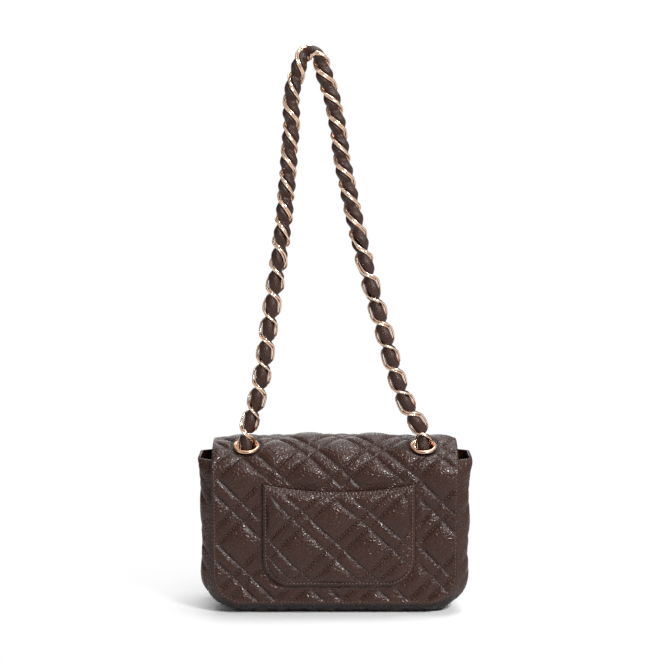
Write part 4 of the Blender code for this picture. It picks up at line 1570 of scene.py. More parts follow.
@dataclass
class Gusset(QuiltedPart):
    """The quilted strip down both sides and under the base, which bulges between its seams."""

    thickness: float = 0.0024
    quilting: Quilting = Quilting(fullness=0.0019, valley=0.0009, shift_a=0.006, shift_b=0.020)
    rise: float = 0.011
    bulge: float = 0.008
    flare: float = 0.003
    flare_height: float = 0.045
    edge_run: float = 0.010
    edge_roll: float = 0.0012
    edge_rise: Flat = (0.0010, 0.0060)
    row_end: float = 0.0035
    hem: float = 0.003
    hem_reach: int = 20
    base_press: float = 0.0012
    tucked: float = 0.0022
    tucked_more: float = 0.0024
    tucked_rise: Flat = (0.0800, 0.0950)

    def __post_init__(self) -> None:
        """Cuts the strip."""
        self.cut = StripCut(self.half_at(self.length / 2), self.length, cell=0.0013, half_at=self.half_at)

    @property
    def top(self) -> float:
        """Height of its two ends."""
        return self.shape.shoulder + self.rise

    @property
    def side_length(self) -> float:
        """Length of a straight side."""
        return self.top - self.shape.seam - self.shape.corner

    @property
    def length(self) -> float:
        """Whole length from end to end."""
        flat = 2 * (self.shape.half_width - self.shape.corner)
        return 2 * self.side_length + HALF_TURN * self.shape.corner + flat

    def path(self, along: float) -> tuple[float, float, float, float]:
        """The seam's U at a length from the left top.

        Args:
            along: The length.

        Returns:
            X and Z, and the outward direction's X and Z.
        """
        shape = self.shape
        mirrored = along > self.length / 2
        run = self.length - along if mirrored else along
        turn = (run - self.side_length) / shape.corner
        if turn <= 0:
            x, z, out_x, out_z = -shape.half_width, self.top - run, -1.0, 0.0
        elif turn <= QUARTER_TURN:
            out_x, out_z = -math.cos(turn), -math.sin(turn)
            x = shape.corner - shape.half_width + shape.corner * out_x
            z = shape.seam + shape.corner + shape.corner * out_z
        else:
            x = shape.corner - shape.half_width + (turn - QUARTER_TURN) * shape.corner
            z, out_x, out_z = shape.seam, 0.0, -1.0
        return (-x, z, -out_x, out_z) if mirrored else (x, z, out_x, out_z)

    def span(self, along: float) -> Flat:
        """Its two edges' Y at a length."""
        height = self.path(along)[1]
        hidden = self.tucked + self.tucked_more * smooth_rise(height, *self.tucked_rise)
        return self.shape.back_y(height, hidden), self.shape.front_y(height) - self.tucked

    def half_at(self, along: float) -> float:
        """Half the strip's width at a length."""
        low, high = self.span(along)
        return (high - low) / 2

    def place(self, across: float, along: float) -> Vector:
        """A point of the outer face.

        Args:
            across: The place across, from the strip's middle.
            along: The place along.

        Returns:
            The point.
        """
        x, z, out_x, out_z = self.path(along)
        low, high = self.span(along)
        edge = min(max(0.0, (high - low) / 2 - abs(across)) / self.edge_run, 1.0)
        flare = max(0.0, (z - self.top + self.flare_height) / self.flare_height)
        out = (self.bulge + self.flare * flare ** 2) * math.sin(QUARTER_TURN * edge)
        return Vector((x + out_x * out, (low + high) / 2 + across, z + out_z * out))

    def sink(self, across: float, along: float) -> float:
        """Drop of the rolled ends and of the base, which the bag's weight presses flat."""
        pressed = self.base_press * min(self.path(along)[3], 0.0) ** 2
        return rolled_edge(min(along, self.length - along), self.edge_roll) + pressed

    def build(self) -> list[Piece]:
        """Builds the gusset and its stitches.

        Returns:
            The pieces.
        """
        hems = [short_line(self.hem_reach, end) for end in (self.hem, self.length - self.hem)]
        pieces = self.quilt("gusset_leather", "gusset_stitches", *hems)
        settle(pieces, Body.BAG, Slot.LEATHER, "gusset")
        return pieces


@dataclass
class BackPocket(QuiltedPart):
    """The quilted patch pocket on the back, with a turned edge and one row of topstitching."""

    cut: PocketCut = PocketCut(0.0557, 0.0755, 0.021, 0.0, 0.0009)
    quilting: Quilting = Quilting(fullness=0.0025, valley=0.0010, shift_a=0.021, shift_b=0.017)
    topstitch: Stitch = Stitch(0.0025, 0.0019, 0.00070)
    shift: float = 0.003
    bottom: float = 0.022
    fullness: float = 0.0048
    edge_run: float = 0.012
    thickness: float = 0.0020
    edge_roll: float = 0.0010
    edge_rise: Flat = (0.0026, 0.0070)
    row_end: float = 0.0034
    topstitch_step: float = 0.0011
    corner_turns: int = 18
    topstitch_inset: float = 0.0024
    topstitch_sink: float = 0.0005
    topstitch_spread: float = 0.0007

    def place(self, across: float, along: float) -> Vector:
        """A point of the outer face.

        Args:
            across: Its place across.
            along: Its place along.

        Returns:
            The point.
        """
        share = share_of(self.cut.edge(across, along) / self.edge_run)
        lift = CLEARANCE + self.thickness + self.fullness * math.sin(QUARTER_TURN * share)
        return Vector((self.shift + across, -self.shape.back_depth - lift,
                       self.bottom + self.cut.squeezed(across, along)))

    def pressed(self, across: float, along: float) -> float:
        """The groove that the topstitching draws in."""
        beside = (self.cut.edge(across, along) - self.topstitch_inset) / self.topstitch_spread
        return self.topstitch_sink * math.exp(-beside ** 2)

    def edge_line(self) -> list[Flat]:
        """A closed line for the topstitching, as grid places.

        Returns:
            The line's flat places.
        """
        cut, inset = self.cut, self.topstitch_inset
        step, turns = self.topstitch_step, self.corner_turns
        corner = cut.low_corner - inset
        beside = cut.half_width - inset
        half = [(MM * number, inset) for number in range(int((beside - corner) / MM) + 1)]
        for number in range(turns + 1):
            angle = QUARTER_TURN * number / turns
            half.append((beside - corner * (1 - math.sin(angle)), inset + corner * (1 - math.cos(angle))))
        side = cut.length - inset - corner - inset
        up, across_run = round(side / step), round(beside / step)
        half += [(beside, inset + corner + side * number / up) for number in range(1, up + 1)]
        half += [(beside * (1 - number / across_run), cut.length - inset)
                 for number in range(1, across_run + 1)]
        return half + [(-across, along) for across, along in reversed(half)]

    def build(self) -> list[Piece]:
        """Builds the pocket and its stitches.

        Returns:
            The pieces.
        """
        pieces = self.quilt("pocket_leather", "pocket_stitches")
        pieces.append(self.sew("pocket_topstitches", [self.edge_line()], self.patch, pieces[0],
                               self.topstitch))
        settle(pieces, Body.BAG, Slot.LEATHER, "back_pocket")
        return pieces


# Metal

def lathe(name: str, profile: Sequence[Flat], frame: Matrix, finish: Material,
          steps: int = 64) -> Piece:
    """Turns a closed profile about a frame's Z.

    Args:
        name: The piece's name.
        profile: (radius, height) points.
        frame: Where the piece stands.
        finish: Its material.
        steps: Steps round.

    Returns:
        The piece.
    """
    bm = bmesh.new()
    rings = []
    for step in range(steps):
        angle = FULL_TURN * step / steps
        rings.append([bm.verts.new((radius * math.cos(angle), radius * math.sin(angle), height))
                      for radius, height in profile])
    for ring, after in zip(rings, rings[1:] + rings[:1]):
        for index in range(len(profile)):
            following = (index + 1) % len(profile)
            bm.faces.new((ring[index], after[index], after[following], ring[following]))
    bmesh.ops.remove_doubles(bm, verts=bm.verts, dist=MERGE_DISTANCE)
    bmesh.ops.dissolve_degenerate(bm, edges=bm.edges, dist=MERGE_DISTANCE)
    bmesh.ops.recalc_face_normals(bm, faces=bm.faces)
    bmesh.ops.transform(bm, matrix=frame, verts=bm.verts)
    mesh = mesh_of(bm, name)
    mesh.shade_smooth()
    return add_piece(name, mesh, finish)


def bevelled_copy(name: str, node: str, finish: Material, width: float) -> Piece:
    """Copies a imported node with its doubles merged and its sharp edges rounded.

    Args:
        name: The copy's name.
        node: The node's name.
        finish: The copy's material.
        width: The bevel's width.

    Returns:
        The copy.
    """
    bm = bmesh.new()
    bm.from_mesh(bpy.data.objects[node].data)
    bmesh.ops.remove_doubles(bm, verts=bm.verts, dist=MERGE_DISTANCE)
    bmesh.ops.dissolve_limit(bm, angle_limit=FLAT_ANGLE, verts=bm.verts, edges=bm.edges)
    piece = add_piece(name, mesh_of(bm, name), finish)
    bevel = piece.modifiers.new("rounded edges", "BEVEL")
    bevel.width = width
    bevel.segments = 3
    bevel.limit_method = "ANGLE"
    bevel.angle_limit = SHARP_ANGLE
    bevel.harden_normals = True
    keep_result(piece)
    return piece


@dataclass
class Eyelets(Maker):
    """Rolled eyelets in the top, with their washers inside."""

    bore: float = 0.0067
    radius: float = 0.0099
    bead: float = 0.0018
    wall: float = 0.0008
    seat: float = -0.0010
    depth: float = 0.0081
    washer: float = 0.0008
    washer_radius: float = 0.0092
    end_share: float = 0.4
    soft_share: float = 0.3
    bead_steps: int = 12
    roll_steps: int = 8

    def ring_profile(self) -> list[Flat]:
        """Draws the eyelet's section.

        Returns:
            The points of a rolled bead, the barrel, and the barrel's end rolled over the washer.
        """
        middle, reach = (self.bore + self.radius) / 2, (self.radius - self.bore) / 2
        end = self.washer - self.depth
        profile = [(self.bore, end - self.washer * self.end_share), (self.bore, self.seat)]
        for step in range(self.bead_steps + 1):
            angle = HALF_TURN * (1 - step / self.bead_steps)
            profile.append((middle + reach * math.cos(angle), self.seat + self.bead * math.sin(angle)))
        barrel = self.bore + self.wall
        profile += [(barrel, self.seat), (barrel, end)]
        rolled = (self.washer_radius - self.wall - barrel) / 2
        for step in range(self.roll_steps + 1):
            angle = HALF_TURN * (1 - step / self.roll_steps)
            profile.append((barrel + rolled - rolled * math.cos(HALF_TURN - angle),
                            end - self.washer * math.sin(angle)))
        return profile

    def washer_profile(self) -> list[Flat]:
        """Draws the washer's section.

        Returns:
            The points, with softened edges.
        """
        hole, radius = self.shape.eyelet_hole, self.washer_radius
        face = 2 * self.washer - self.depth + CLEARANCE
        soft = self.washer * self.soft_share
        low = face - self.washer
        return [(hole, low), (hole, face), (radius - soft, face), (radius, face - soft),
                (radius, low + soft), (radius - soft, low)]

    def build(self) -> list[Piece]:
        """Builds both eyelets and both washers.

        Returns:
            The pieces.
        """
        pieces = []
        for side, label in ((-1, "left"), (1, "right")):
            frame = self.shape.eyelet_frame(side)
            for kind, profile in (("eyelet", self.ring_profile()),
                                  ("eyelet_washer", self.washer_profile())):
                pieces.append(lathe(f"turned_{kind}_{label}", profile, frame, self.finishes.metal))
                settle(pieces[-1:], Body.BAG, Slot.METAL, f"{kind}_{label}")
        return pieces


@dataclass
class Lock(Maker):
    """The turning lock: plate and rivets on the flap, base and washer on the front, and the toggle."""

    bevels: tuple[tuple[str, Body, float], ...] = (
        ("lock_plate", Body.FLAP, 0.00040), ("lock_base", Body.BAG, 0.00030),
        ("lock_washer", Body.BAG, 0.00020), ("lock_toggle", Body.LOCK, 0.00030),
        ("lock_rivet_left", Body.FLAP, 0.00022), ("lock_rivet_right", Body.FLAP, 0.00022))

    def build(self) -> list[Piece]:
        """Builds each metal part of the lock with rounded edges.

        Returns:
            The pieces.
        """
        pieces = []
        for node, body, width in self.bevels:
            pieces.append(bevelled_copy("rounded_" + node, node, self.finishes.metal, width))
            settle(pieces[-1:], body, Slot.METAL, node)
        return pieces


# Strap

class Route:
    """A smooth planar line for the strap, read by its length."""

    def __init__(self, points: Sequence[Vector], steps: int = 40) -> None:
        """Draws the line through its points.

        Args:
            points: The points in order.
            steps: Samples from point to point.
        """
        ends = [points[0] * 2 - points[1], *points, points[-1] * 2 - points[-2]]
        tangents = [self.tangent(*ends[index:index + 3]) for index in range(len(points))]
        self.samples: list[Vector] = []
        for index in range(len(points) - 1):
            start, end = points[index], points[index + 1]
            reach = (end - start).length / 3
            span = interpolate_bezier(start, start + tangents[index] * reach,
                                      end - tangents[index + 1] * reach, end, steps)
            self.samples += span[:-1]
        self.samples.append(points[-1])
        self.lengths = running_lengths(self.samples)

    @staticmethod
    def tangent(before: Vector, point: Vector, after: Vector) -> Vector:
        """The line's direction at a point between two others."""
        near, far = point - before, after - point
        return (near.normalized() * far.length + far.normalized() * near.length).normalized()

    def at(self, length: float) -> Vector:
        """Finds a point of the line.

        Args:
            length: The length from its start.

        Returns:
            The point.
        """
        place = read_table(self.lengths, length)
        low = min(max(int(place), 0), len(self.samples) - 2)
        return self.samples[low].lerp(self.samples[low + 1], share_of(place - low))


@dataclass
class Strap(Maker):
    """The chain strap: gold links and two leather laces wind about one line, half a turn to a link.

    The shares are the route's points: across as a share of an eyelet's place, up as a share of the rise.
    """

    link_count: int = 33
    section: int = 3
    inner_links: int = 2
    rise: float = 0.276
    pivot_rise: float = 0.0087
    eyelet_depth: float = 0.0078
    axis_reach: float = 0.0025
    roll_span: Flat = (0.14, 0.36)
    lag: float = 0.40
    wire_radius: float = 0.00080
    wire_gap: float = 0.00200
    wire_steps: int = 44
    squareness: float = 0.62
    waist: float = 0.0052
    corner: float = 0.0054
    hook_reach: float = 0.0030
    lace_start: float = 0.0012
    lace_reach: Flat = (0.0016, 0.0034)
    lace_half_width: Flat = (0.0036, 0.0042)
    lace_thickness: Flat = (0.0011, 0.0031)
    lace_step: float = 0.0008
    lace_sides: int = 14
    bulge_power: float = 0.6
    rolled_power: float = 0.8
    bend_reach: float = 0.008
    full_bend: float = math.radians(70.0)
    bend_squeeze: float = 0.35
    hidden_share: float = 0.8
    tab_bevel: float = 0.00035
    shares: tuple[Flat, ...] = (
        (-1.0, 0.0), (-0.868, 0.103), (-0.732, 0.300), (-0.581, 0.547), (-0.490, 0.790), (-0.440, 0.930),
        (-0.267, 1.0), (-0.090, 0.918), (0.105, 0.690), (0.322, 0.465), (0.550, 0.270), (0.806, 0.080),
        (1.0, 0.0))

    def __post_init__(self) -> None:
        """Draws the route through both eyelets."""
        frame = self.shape.eyelet_frame(-1)
        plane_y = (frame @ Vector((0.0, 0.0, -self.eyelet_depth / 2))).y
        base = frame.translation.z + self.pivot_rise
        self.route = Route([Vector((across * self.shape.eyelet_across, plane_y, base + up * self.rise))
                            for across, up in self.shares])
        self.total = self.route.lengths[-1]
        self.pitch = self.total / self.link_count

    def at(self, length: float) -> Vector:
        """The strap's middle line, which hangs straight down inside the bag past either end."""
        beyond = max(-length, length - self.total, 0.0)
        return self.route.at(min(max(length, 0.0), self.total)) - Vector((0.0, 0.0, beyond))

    def axis(self, length: float) -> Vector:
        """The line's direction at a length."""
        return (self.at(length + self.axis_reach) - self.at(length - self.axis_reach)).normalized()

    def rolled(self, length: float) -> float:
        """How far the links have rolled a quarter turn towards their edge at a length, from 0 to 1."""
        share = length / self.total
        return smooth_rise(min(share, 1 - share), *self.roll_span)

    def directions(self, length: float) -> tuple[Vector, Vector]:
        """The links' plane at a length.

        Args:
            length: The length from the left hook.

        Returns:
            The direction in the links' plane and the one across it.
        """
        rolled = self.rolled(length)
        place = length / self.pitch - 0.5
        lag = self.lag * (1 - rolled)
        turn = -QUARTER_TURN * rolled - HALF_TURN * place + lag * math.sin(FULL_TURN * place)
        axis = self.axis(length)
        across = Vector((-axis.z, 0.0, axis.x))
        towards = Vector((0.0, -1.0, 0.0))
        return (across * math.cos(turn) + towards * math.sin(turn),
                towards * math.cos(turn) - across * math.sin(turn))

    def wire(self, index: int) -> tuple[list[Vector], list[Vector]]:
        """A link's centre line: a loop, wide at both hooks, that turns half round.

        Args:
            index: The link's place, from 0 above the left eyelet.

        Returns:
            The points and, for each, the direction from one wire of the pair to the other.
        """
        points, sides = [], []
        for step in range(self.wire_steps):
            angle = FULL_TURN * step / self.wire_steps
            along = power_wave(math.cos(angle), self.squareness)
            lateral = power_wave(math.sin(angle), self.squareness)
            length = (index + 0.5) * self.pitch + along * (self.pitch / 2 + self.hook_reach)
            width = self.waist + (self.corner - self.waist) * along * along
            side, across = self.directions(length)
            points.append(self.at(length) + side * lateral * width)
            around = (side * lateral + self.axis(length) * along).normalized()
            phase = QUARTER_TURN * (along + self.rolled(length))
            sides.append(across * math.sin(phase) + around * math.cos(phase))
        return points, sides

    def draw_links(self, name: str, indices: Iterable[int]) -> Piece:
        """Makes a run of links.

        Args:
            name: The piece's name.
            indices: The links' places.

        Returns:
            The piece.
        """
        points, edges, sides = [], [], []
        for index in indices:
            wire, across = self.wire(index)
            start, count = len(points), len(wire)
            points += wire
            sides += across
            edges += [(start + step, start + (step + 1) % count) for step in range(count)]
        mesh = bpy.data.meshes.new(name)
        mesh.from_pydata(points, edges, [])
        store_vectors(mesh, "side", sides)
        piece = add_piece(name, mesh)
        run_tree(piece, self.trees.links, wire_radius=self.wire_radius, wire_gap=self.wire_gap,
                 finish=self.finishes.wire)
        return piece

    def lace_ring(self, facing: int, length: float) -> list[Vector]:
        """The lace's section at a length, fullest in the middle of a link.

        Args:
            facing: 1 for the outer lace, -1 for the inner one.
            length: The length from the left hook.

        Returns:
            The section's points.
        """
        bend = self.axis(length - self.bend_reach).angle(self.axis(length + self.bend_reach), 0.0)
        power = self.bulge_power + self.rolled_power * self.rolled(length)
        fullness = abs(math.sin(HALF_TURN * length / self.pitch)) ** power
        squeeze = 1 - self.bend_squeeze * min(bend / self.full_bend, 1.0)
        reach, half_width, thickness = (low + (high - low) * fullness for low, high in (
            self.lace_reach, self.lace_half_width, self.lace_thickness))
        sideways, outward = self.directions(length)
        centre = self.at(length) + outward * facing * reach * squeeze
        angles = [FULL_TURN * side / self.lace_sides for side in range(self.lace_sides)]
        return [centre + sideways * half_width * math.cos(angle)
                + outward * thickness * squeeze * math.sin(angle) for angle in angles]

    def draw_laces(self, name: str, facings: Iterable[int], start: float, end: float) -> Piece:
        """Builds soft laces along a stretch of the strap.

        Args:
            name: The piece's name.
            facings: A facing for each lace.
            start: The length where they start.
            end: The length where they end.

        Returns:
            The piece.
        """
        bm = bmesh.new()
        count = math.ceil((end - start) / self.lace_step)
        for facing in facings:
            rings = [[bm.verts.new(point) for point in
                      self.lace_ring(facing, start + (end - start) * row / count)]
                     for row in range(count + 1)]
            for lower, upper in zip(rings, rings[1:]):
                for side in range(self.lace_sides):
                    after = (side + 1) % self.lace_sides
                    bm.faces.new((lower[side], lower[after], upper[after], upper[side]))
            bm.faces.new(rings[0])
            bm.faces.new(list(reversed(rings[-1])))
        bmesh.ops.recalc_face_normals(bm, faces=bm.faces)
        mesh = mesh_of(bm, name)
        mesh.shade_smooth()
        return add_piece(name, mesh, self.finishes.smooth_leather)

    def build_above(self) -> list[Piece]:
        """Builds the links and laces above the eyelets.

        Returns:
            The pieces.
        """
        pieces = []
        for first in range(0, self.link_count, self.section):
            label = f"{first // self.section + 1:02d}"
            pieces.append(self.draw_links("double_links_" + label, range(first, first + self.section)))
            settle(pieces[-1:], Body.STRAP, Slot.METAL, "strap_chain_" + label)
        for facing, label in ((1, "outer"), (-1, "inner")):
            pieces.append(self.draw_laces("leather_lace_" + label, [facing], self.lace_start,
                                          self.total - self.lace_start))
            settle(pieces[-1:], Body.STRAP, Slot.LEATHER, "strap_lace_" + label)
        return pieces

    def build_inside(self) -> list[Piece]:
        """Builds the links, laces and tabs below the eyelets.

        Returns:
            The pieces.
        """
        pieces = []
        near, far = self.lace_start, self.inner_links * self.pitch * self.hidden_share
        for label, first, start, end in (("left", -self.inner_links, -far, -near),
                                         ("right", self.link_count, self.total + near, self.total + far)):
            chain = self.draw_links("inner_links_" + label, range(first, first + self.inner_links))
            lace = self.draw_laces("inner_lace_" + label, (1, -1), start, end)
            tab = bevelled_copy("sewn_tab_" + label, "strap_tab_" + label, self.finishes.smooth_leather,
                                self.tab_bevel)
            settle([chain], Body.BAG, Slot.METAL, "strap_end_" + label)
            settle([lace], Body.BAG, Slot.LEATHER, "lace_end_" + label)
            settle([tab], Body.BAG, Slot.LEATHER, "strap_tab_" + label)
            pieces += [chain, lace, tab]
        return pieces

    def build(self) -> list[Piece]:
        """Builds the strap and its ends."""
        return [*self.build_above(), *self.build_inside()]


# Inside

@dataclass
class Inside(Maker):
    """The lining, its slip pocket, the leather facing and the flap's lining."""

    cloth_thickness: float = 0.0007
    edge_share: float = 0.45
    flap_lining_depth: float = 0.0045
    flap_margin: float = 0.0004
    facing_depth: float = 0.0033
    facing_thickness: float = 0.0010
    facing_margin: float = 0.0026
    lining_face: float = 0.0044
    lining_bottom: float = 0.0044
    lining_half_width: float = 0.0852
    lining_corner: float = 0.012
    lining_flat_width: float = 0.190
    lining_gap: float = 0.0008
    corner_turns: int = 8
    wall_runs: tuple[int, ...] = (12, 44, 12, 44)
    wall_levels: int = 30
    corner_levels: tuple[float, ...] = (
        0.0, 0.005, 0.02, 0.05, 0.09, 0.14, 0.20, 0.28, 0.38, 0.50, 0.62, 0.80, 1.0)
    ripple: Flat = (0.0004, 0.0012)
    ripple_scale: Flat = (45.0, 18.0)
    ripple_slant: float = 0.2
    free_low: Flat = (0.012, 0.030)
    free_high: Flat = (0.088, 0.100)
    pocket_cut: Cut = Cut(0.055, 0.048, 0.018, 0.0, 0.0014)
    pocket_bottom: float = 0.030
    pocket_bulge: float = 0.0048
    pocket_edge_run: float = 0.012
    pocket_ripple: float = 0.0008
    pocket_ripple_scale: Flat = (60.0, 22.0)
    pocket_ripple_seed: float = 0.56
    pocket_seam: float = 0.0016
    pocket_hem: float = 0.004
    pocket_hem_reach: int = 54

    def sheet_patch(self, name: str, cut: Cut, place: Face, thickness: float) -> Patch:
        """A sheet's patch, with its cut edges rolled a little."""
        radius = thickness * self.edge_share
        return Patch(name, cut, place, thickness, lambda across, along: 0.0,
                     lambda across, along: rolled_edge(cut.edge(across, along), radius))

    def flap_lining(self) -> Piece:
        """The cloth under the flap.

        Returns:
            The piece.
        """
        line = TopLine(self.shape, self.flap_lining_depth)
        begin = line.length_at(self.shape.hinge_turn + CLEARANCE / self.shape.half_depth)
        cut = Cut(self.shape.half_width - self.flap_margin, line.total - begin - self.flap_margin, 0.0,
                  self.shape.flap_corner, 0.0022)
        patch = self.sheet_patch("flap_lining_cloth", cut,
                                 lambda across, along: line.at(across, begin + along), self.cloth_thickness)
        piece = self.pad_patch(patch, Quilting.none(), self.finishes.cloth)
        settle([piece], Body.FLAP, Slot.CLOTH, "flap_lining")
        cut.size
        return piece

    def facing(self) -> Piece:
        """The leather facing inside the top of the back.

        Returns:
            The piece.
        """
        line = TopLine(self.shape, self.facing_depth)
        begin = line.back + CLEARANCE
        cut = Cut(self.shape.half_width - self.facing_margin,
                  line.length_at(self.shape.hinge_turn) - begin, 0.0, 0.0, 0.0020)
        patch = self.sheet_patch("facing_leather", cut,
                                 lambda across, along: line.at(across, begin + along), self.facing_thickness)
        piece = self.pad_patch(patch, Quilting.none(), self.finishes.hide)
        self.punch_eyelets(piece)
        settle([piece], Body.BAG, Slot.LEATHER, "back_facing")
        cut.size
        return piece

    def ring(self, height: float, wall: float) -> list[Vector]:
        """One level of the lining, wall inside its outer face.

        Args:
            height: The level.
            wall: How far inside.

        Returns:
            The level's points.
        """
        shape = self.shape
        rise = height - self.lining_bottom
        side_in, edge_in = (radius - math.sqrt(max(0.0, radius ** 2 - max(0.0, radius - rise) ** 2))
                            for radius in (shape.corner, self.lining_corner))
        half = self.lining_half_width - side_in - wall
        low = -shape.back_depth + self.lining_face + edge_in + wall
        high = shape.front_y(height) - self.lining_face - edge_in - wall
        radius = min(self.lining_corner, (high - low) / 2 - MM) - wall
        corners = ((half - radius, low + radius), (half - radius, high - radius),
                   (radius - half, high - radius), (radius - half, low + radius))

        def rounded(corner: int, angle: float) -> Vector:
            """A point round a corner."""
            x, y = corners[corner % len(corners)]
            return Vector((x + radius * math.cos(angle), y + radius * math.sin(angle), height))

        points = []
        for corner, run in enumerate(self.wall_runs):
            start = corner * QUARTER_TURN - QUARTER_TURN
            points += [rounded(corner, start + QUARTER_TURN * step / self.corner_turns)
                       for step in range(self.corner_turns + 1)]
            last = points[-1]
            target = rounded(corner + 1, start + QUARTER_TURN)
            points += [last.lerp(target, step / run) for step in range(1, run)]
        return points

    def level(self, bm: bmesh.types.BMesh, flats: list[Place], height: float,
              wall: float) -> list[bmesh.types.BMVert]:
        """Adds a level of the lining, with the soft ripples of its walls.

        Args:
            bm: The mesh that it goes in.
            flats: The list that its points' flat places go in.
            height: The level.
            wall: How far inside the outer face.

        Returns:
            Its points.
        """
        points = self.ring(height, wall)
        free = smooth_rise(height, *self.free_low) * (1 - smooth_rise(height, *self.free_high))
        ring = []
        for point in points:
            inwards = Vector((-point.x * self.ripple_slant, -point.y, 0.0)).normalized()
            around, upwards = self.ripple_scale
            wave = noise.noise(Vector((point.x * around, point.y * around, height * upwards)))
            ring.append(bm.verts.new(point + inwards * (self.ripple[0] + self.ripple[1] * wave) * free))
        flats += [(run, height, 0.0) for run in running_lengths(points)]
        return ring

    def lining(self) -> Piece:
        """Builds the lining bag.

        Returns:
            The piece.
        """
        heights = [self.lining_bottom + self.shape.corner * share for share in self.corner_levels]
        base = heights[-1]
        heights += [base + (self.shape.shoulder - base) * step / self.wall_levels
                    for step in range(1, self.wall_levels + 1)]
        floor = self.lining_bottom + self.cloth_thickness
        bm = bmesh.new()
        flats: list[Place] = []
        outer = [self.level(bm, flats, height, 0.0) for height in heights]
        inner = [self.level(bm, flats, height, self.cloth_thickness) for height in (floor, *heights[1:])]
        for lower, upper in (*zip(outer, outer[1:]), (outer[-1], inner[-1]), *zip(inner[1:], inner)):
            for index, vertex in enumerate(lower):
                after = (index + 1) % len(lower)
                bm.faces.new((vertex, lower[after], upper[after], upper[index]))
        bm.faces.new(list(reversed(outer[0])))
        bm.faces.new(inner[0])
        bmesh.ops.recalc_face_normals(bm, faces=bm.faces)
        mesh = mesh_of(bm, "lining_bag")
        store_vectors(mesh, "flat", flats)
        mesh.shade_smooth()
        piece = add_piece("lining_bag", mesh, self.finishes.cloth)
        settle([piece], Body.BAG, Slot.CLOTH, "lining")
        return piece

    def pocket_place(self, across: float, along: float) -> Vector:
        """A point of the slip pocket's outer face.

        Args:
            across: Its place across.
            along: Its place along.

        Returns:
            The point.
        """
        cut = self.pocket_cut
        beside = min(cut.half_width - abs(across), cut.edge(across, min(along, cut.length / 2)))
        lift = self.pocket_bulge * math.sin(QUARTER_TURN * share_of(beside / self.pocket_edge_run))
        sideways, upwards = self.pocket_ripple_scale
        wave = noise.noise(Vector((across * sideways, along * upwards, self.pocket_ripple_seed)))
        lift += self.pocket_ripple * wave * smooth_rise(beside, 0.0, 0.01)
        face = -self.shape.back_depth + self.lining_face + self.lining_gap + CLEARANCE
        return Vector((-across, face + self.cloth_thickness + max(lift, 0.0), self.pocket_bottom + along))

    def slip_pocket(self) -> list[Piece]:
        """Builds the cloth pocket sewn on the lining's back wall.

        Returns:
            The pocket and its stitches.
        """
        cut = self.pocket_cut
        patch = self.sheet_patch("slip_pocket_cloth", cut, self.pocket_place, self.cloth_thickness)
        piece = self.pad_patch(patch, Quilting.none(), self.finishes.cloth)
        turned = Cut(cut.half_width, cut.length, 0.0, cut.low_corner)
        seam = [(across, cut.length - along)
                for across, along in inset_line(turned, self.pocket_seam, 0.0, cut.length)]
        hem = short_line(self.pocket_hem_reach, cut.length - self.pocket_hem)
        stitches = self.sew("slip_pocket_stitches", [seam, hem], patch, piece)
        settle([piece, stitches], Body.BAG, Slot.CLOTH, "slip_pocket")
        cut.size
        return [piece, stitches]

    def dress_boards(self) -> None:
        """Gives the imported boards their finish."""
        for node in ("base_board", "back_board", "front_board", "flap_board"):
            board = bpy.data.objects[node]
            board.data.materials.clear()
            board.data.materials.append(self.finishes.board)

    def build(self) -> list[Piece]:
        """Builds the inside."""
        self.dress_boards()
        return [self.flap_lining(), self.facing(), self.lining(), *self.slip_pocket()]


# Studio

@dataclass(frozen=True)
class Lamp:
    """A soft box."""

    name: str
    place: Place
    size: float
    power: float


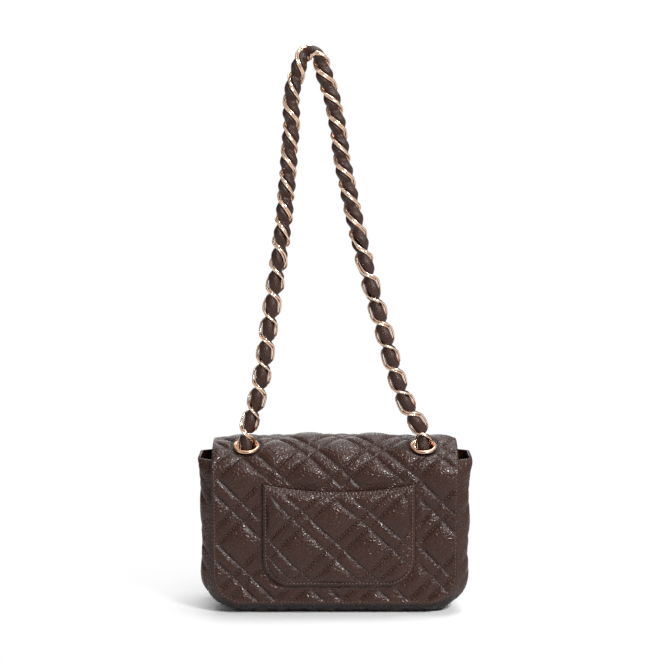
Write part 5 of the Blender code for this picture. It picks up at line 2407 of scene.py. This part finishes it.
@dataclass
class Studio:
    """A white studio: the camera, the lamps, the surroundings and the floor."""

    target: Place = (-0.0018, -0.0026, 0.2035)
    distance: float = 1.5
    elevation: float = math.radians(6.0)
    lens: float = 110.8
    lamp_target: Place = (0.0, 0.0, 0.12)
    ambient: float = 0.12
    low_shine: float = 0.03
    high_shine: float = 0.75
    shine_lean: float = 0.35
    floor_half: float = 3.0
    foot: Flat = (0.085, 0.050)
    fade: float = 0.030
    lamps: tuple[Lamp, ...] = (
        Lamp("key_lamp", (0.80, -1.35, 1.15), 0.36, 40.0),
        Lamp("fill_lamp", (-1.5, -1.2, 0.8), 1.4, 3.5),
        Lamp("top_lamp", (0.35, 0.22, 1.7), 0.9, 20.0),
        Lamp("front_lamp", (-0.4, 1.8, 0.9), 1.4, 10.0))

    @staticmethod
    def aim(name: str, data: bpy.types.ID, place: Vector, direction: Vector) -> Piece:
        """Adds a camera or a lamp.

        Args:
            name: Its name.
            data: Its camera or light data.
            place: Where it stands.
            direction: Where it looks.

        Returns:
            The new object.
        """
        thing = bpy.data.objects.new(name, data)
        bpy.context.scene.collection.objects.link(thing)
        thing.location = place
        thing.rotation_euler = direction.to_track_quat("-Z", "Y").to_euler()
        return thing

    def camera(self) -> None:
        """Sets up the camera at the photograph's viewing angle."""
        data = bpy.data.cameras.new("photo_camera")
        data.lens = self.lens
        data.sensor_width = 36.0
        data.clip_start = 0.01
        outward = Vector((0.0, -math.cos(self.elevation), math.sin(self.elevation)))
        place = Vector(self.target) + outward * self.distance
        bpy.context.scene.camera = self.aim("photo_camera", data, place, -outward)

    def lights(self) -> None:
        """Sets up the soft boxes, aimed at the middle of the bag."""
        for lamp in self.lamps:
            data = bpy.data.lights.new(lamp.name, "AREA")
            data.shape = "SQUARE"
            data.size = lamp.size
            data.energy = lamp.power
            self.aim(lamp.name, data, Vector(lamp.place), Vector(self.lamp_target) - Vector(lamp.place))

    @staticmethod
    def seen_white(graph: Graph, shine: Value = 1.0) -> Socket:
        """Finds how much of the white surroundings a ray sees.

        Args:
            graph: The material's or world's graph.
            shine: How much of them a glossy ray sees.

        Returns:
            The share, from 0 to 1.
        """
        rays = graph.add("ShaderNodeLightPath").outputs
        seen = graph.math("MAXIMUM", rays["Is Camera Ray"], rays["Is Transmission Ray"])
        return graph.math("MAXIMUM", seen, graph.times(rays["Is Glossy Ray"], shine))

    def surroundings(self) -> None:
        """Makes the world white to the camera, and dimmer low down and on the left to what reflects it."""
        world = bpy.data.worlds.new("white_studio")
        world.use_nodes = True
        bpy.context.scene.world = world
        graph = Graph(world.node_tree)
        split = graph.split(graph.add("ShaderNodeTexCoord").outputs["Generated"])
        slope = graph.times_plus(split["X"], self.shine_lean, split["Z"])
        shine = graph.ramp(slope, 0.05, 0.85, self.low_shine, self.high_shine)
        background = world.node_tree.nodes["Background"].inputs
        graph.put(background["Color"], WHITE)
        seen = self.seen_white(graph, shine)
        graph.put(background["Strength"], graph.math("MAXIMUM", seen, self.ambient))

    def floor(self) -> None:
        """Lays the pale floor, which fades to the white surroundings away from the bag."""
        bm = bmesh.new()
        bmesh.ops.create_grid(bm, x_segments=8, y_segments=8, size=self.floor_half)
        coat = Coat("pale_floor", (0.92, 0.92, 0.92))
        graph = coat.graph
        beyond = graph.vector("SUBTRACT", graph.vector("ABSOLUTE", graph.place()), (*self.foot, 0.0))
        beyond = graph.vector("MAXIMUM", beyond, (0.0, 0.0, 0.0))
        far = graph.add("ShaderNodeVectorMath", {0: beyond}, operation="LENGTH").outputs["Value"]
        clear = graph.minus(1.0, graph.math("EXPONENT", graph.over(far, -self.fade)))
        coat.give(Base_Color=coat.shade(1.0), Roughness=0.6, Specular_IOR_Level=0.2)
        glow = graph.add("ShaderNodeEmission", {"Color": WHITE, "Strength": 1.0})
        share = graph.times(clear, self.seen_white(graph))
        mixed = graph.add("ShaderNodeMixShader", {
            0: share, 1: coat.shader.outputs["BSDF"], 2: glow.outputs["Emission"]})
        end = coat.finish.node_tree.nodes["Material Output"]
        graph.put(end.inputs["Surface"], mixed.outputs["Shader"])
        add_piece("studio_floor", mesh_of(bm, "studio_floor"), coat.finish)

    def build(self) -> None:
        """Builds the studio."""
        self.camera()
        self.lights()
        self.surroundings()
        self.floor()
        bpy.context.scene.view_settings.view_transform = "Standard"


def main() -> None:
    """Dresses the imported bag."""
    logging.basicConfig(level=logging.INFO, format="%(message)s")
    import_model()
    shape, finishes, trees = BagShape(), Finishes(), Trees()
    Studio().build()
    makers = (Strap, Hide, FrontPanel, Gusset, BackPocket, Eyelets, Lock, Inside)
    for part in [maker(shape, finishes, trees) for maker in makers]:
        for piece in part.build():
            LOG.info("%s: %d faces", piece.name, len(piece.data.polygons))


if __name__ == "__main__":
    main()
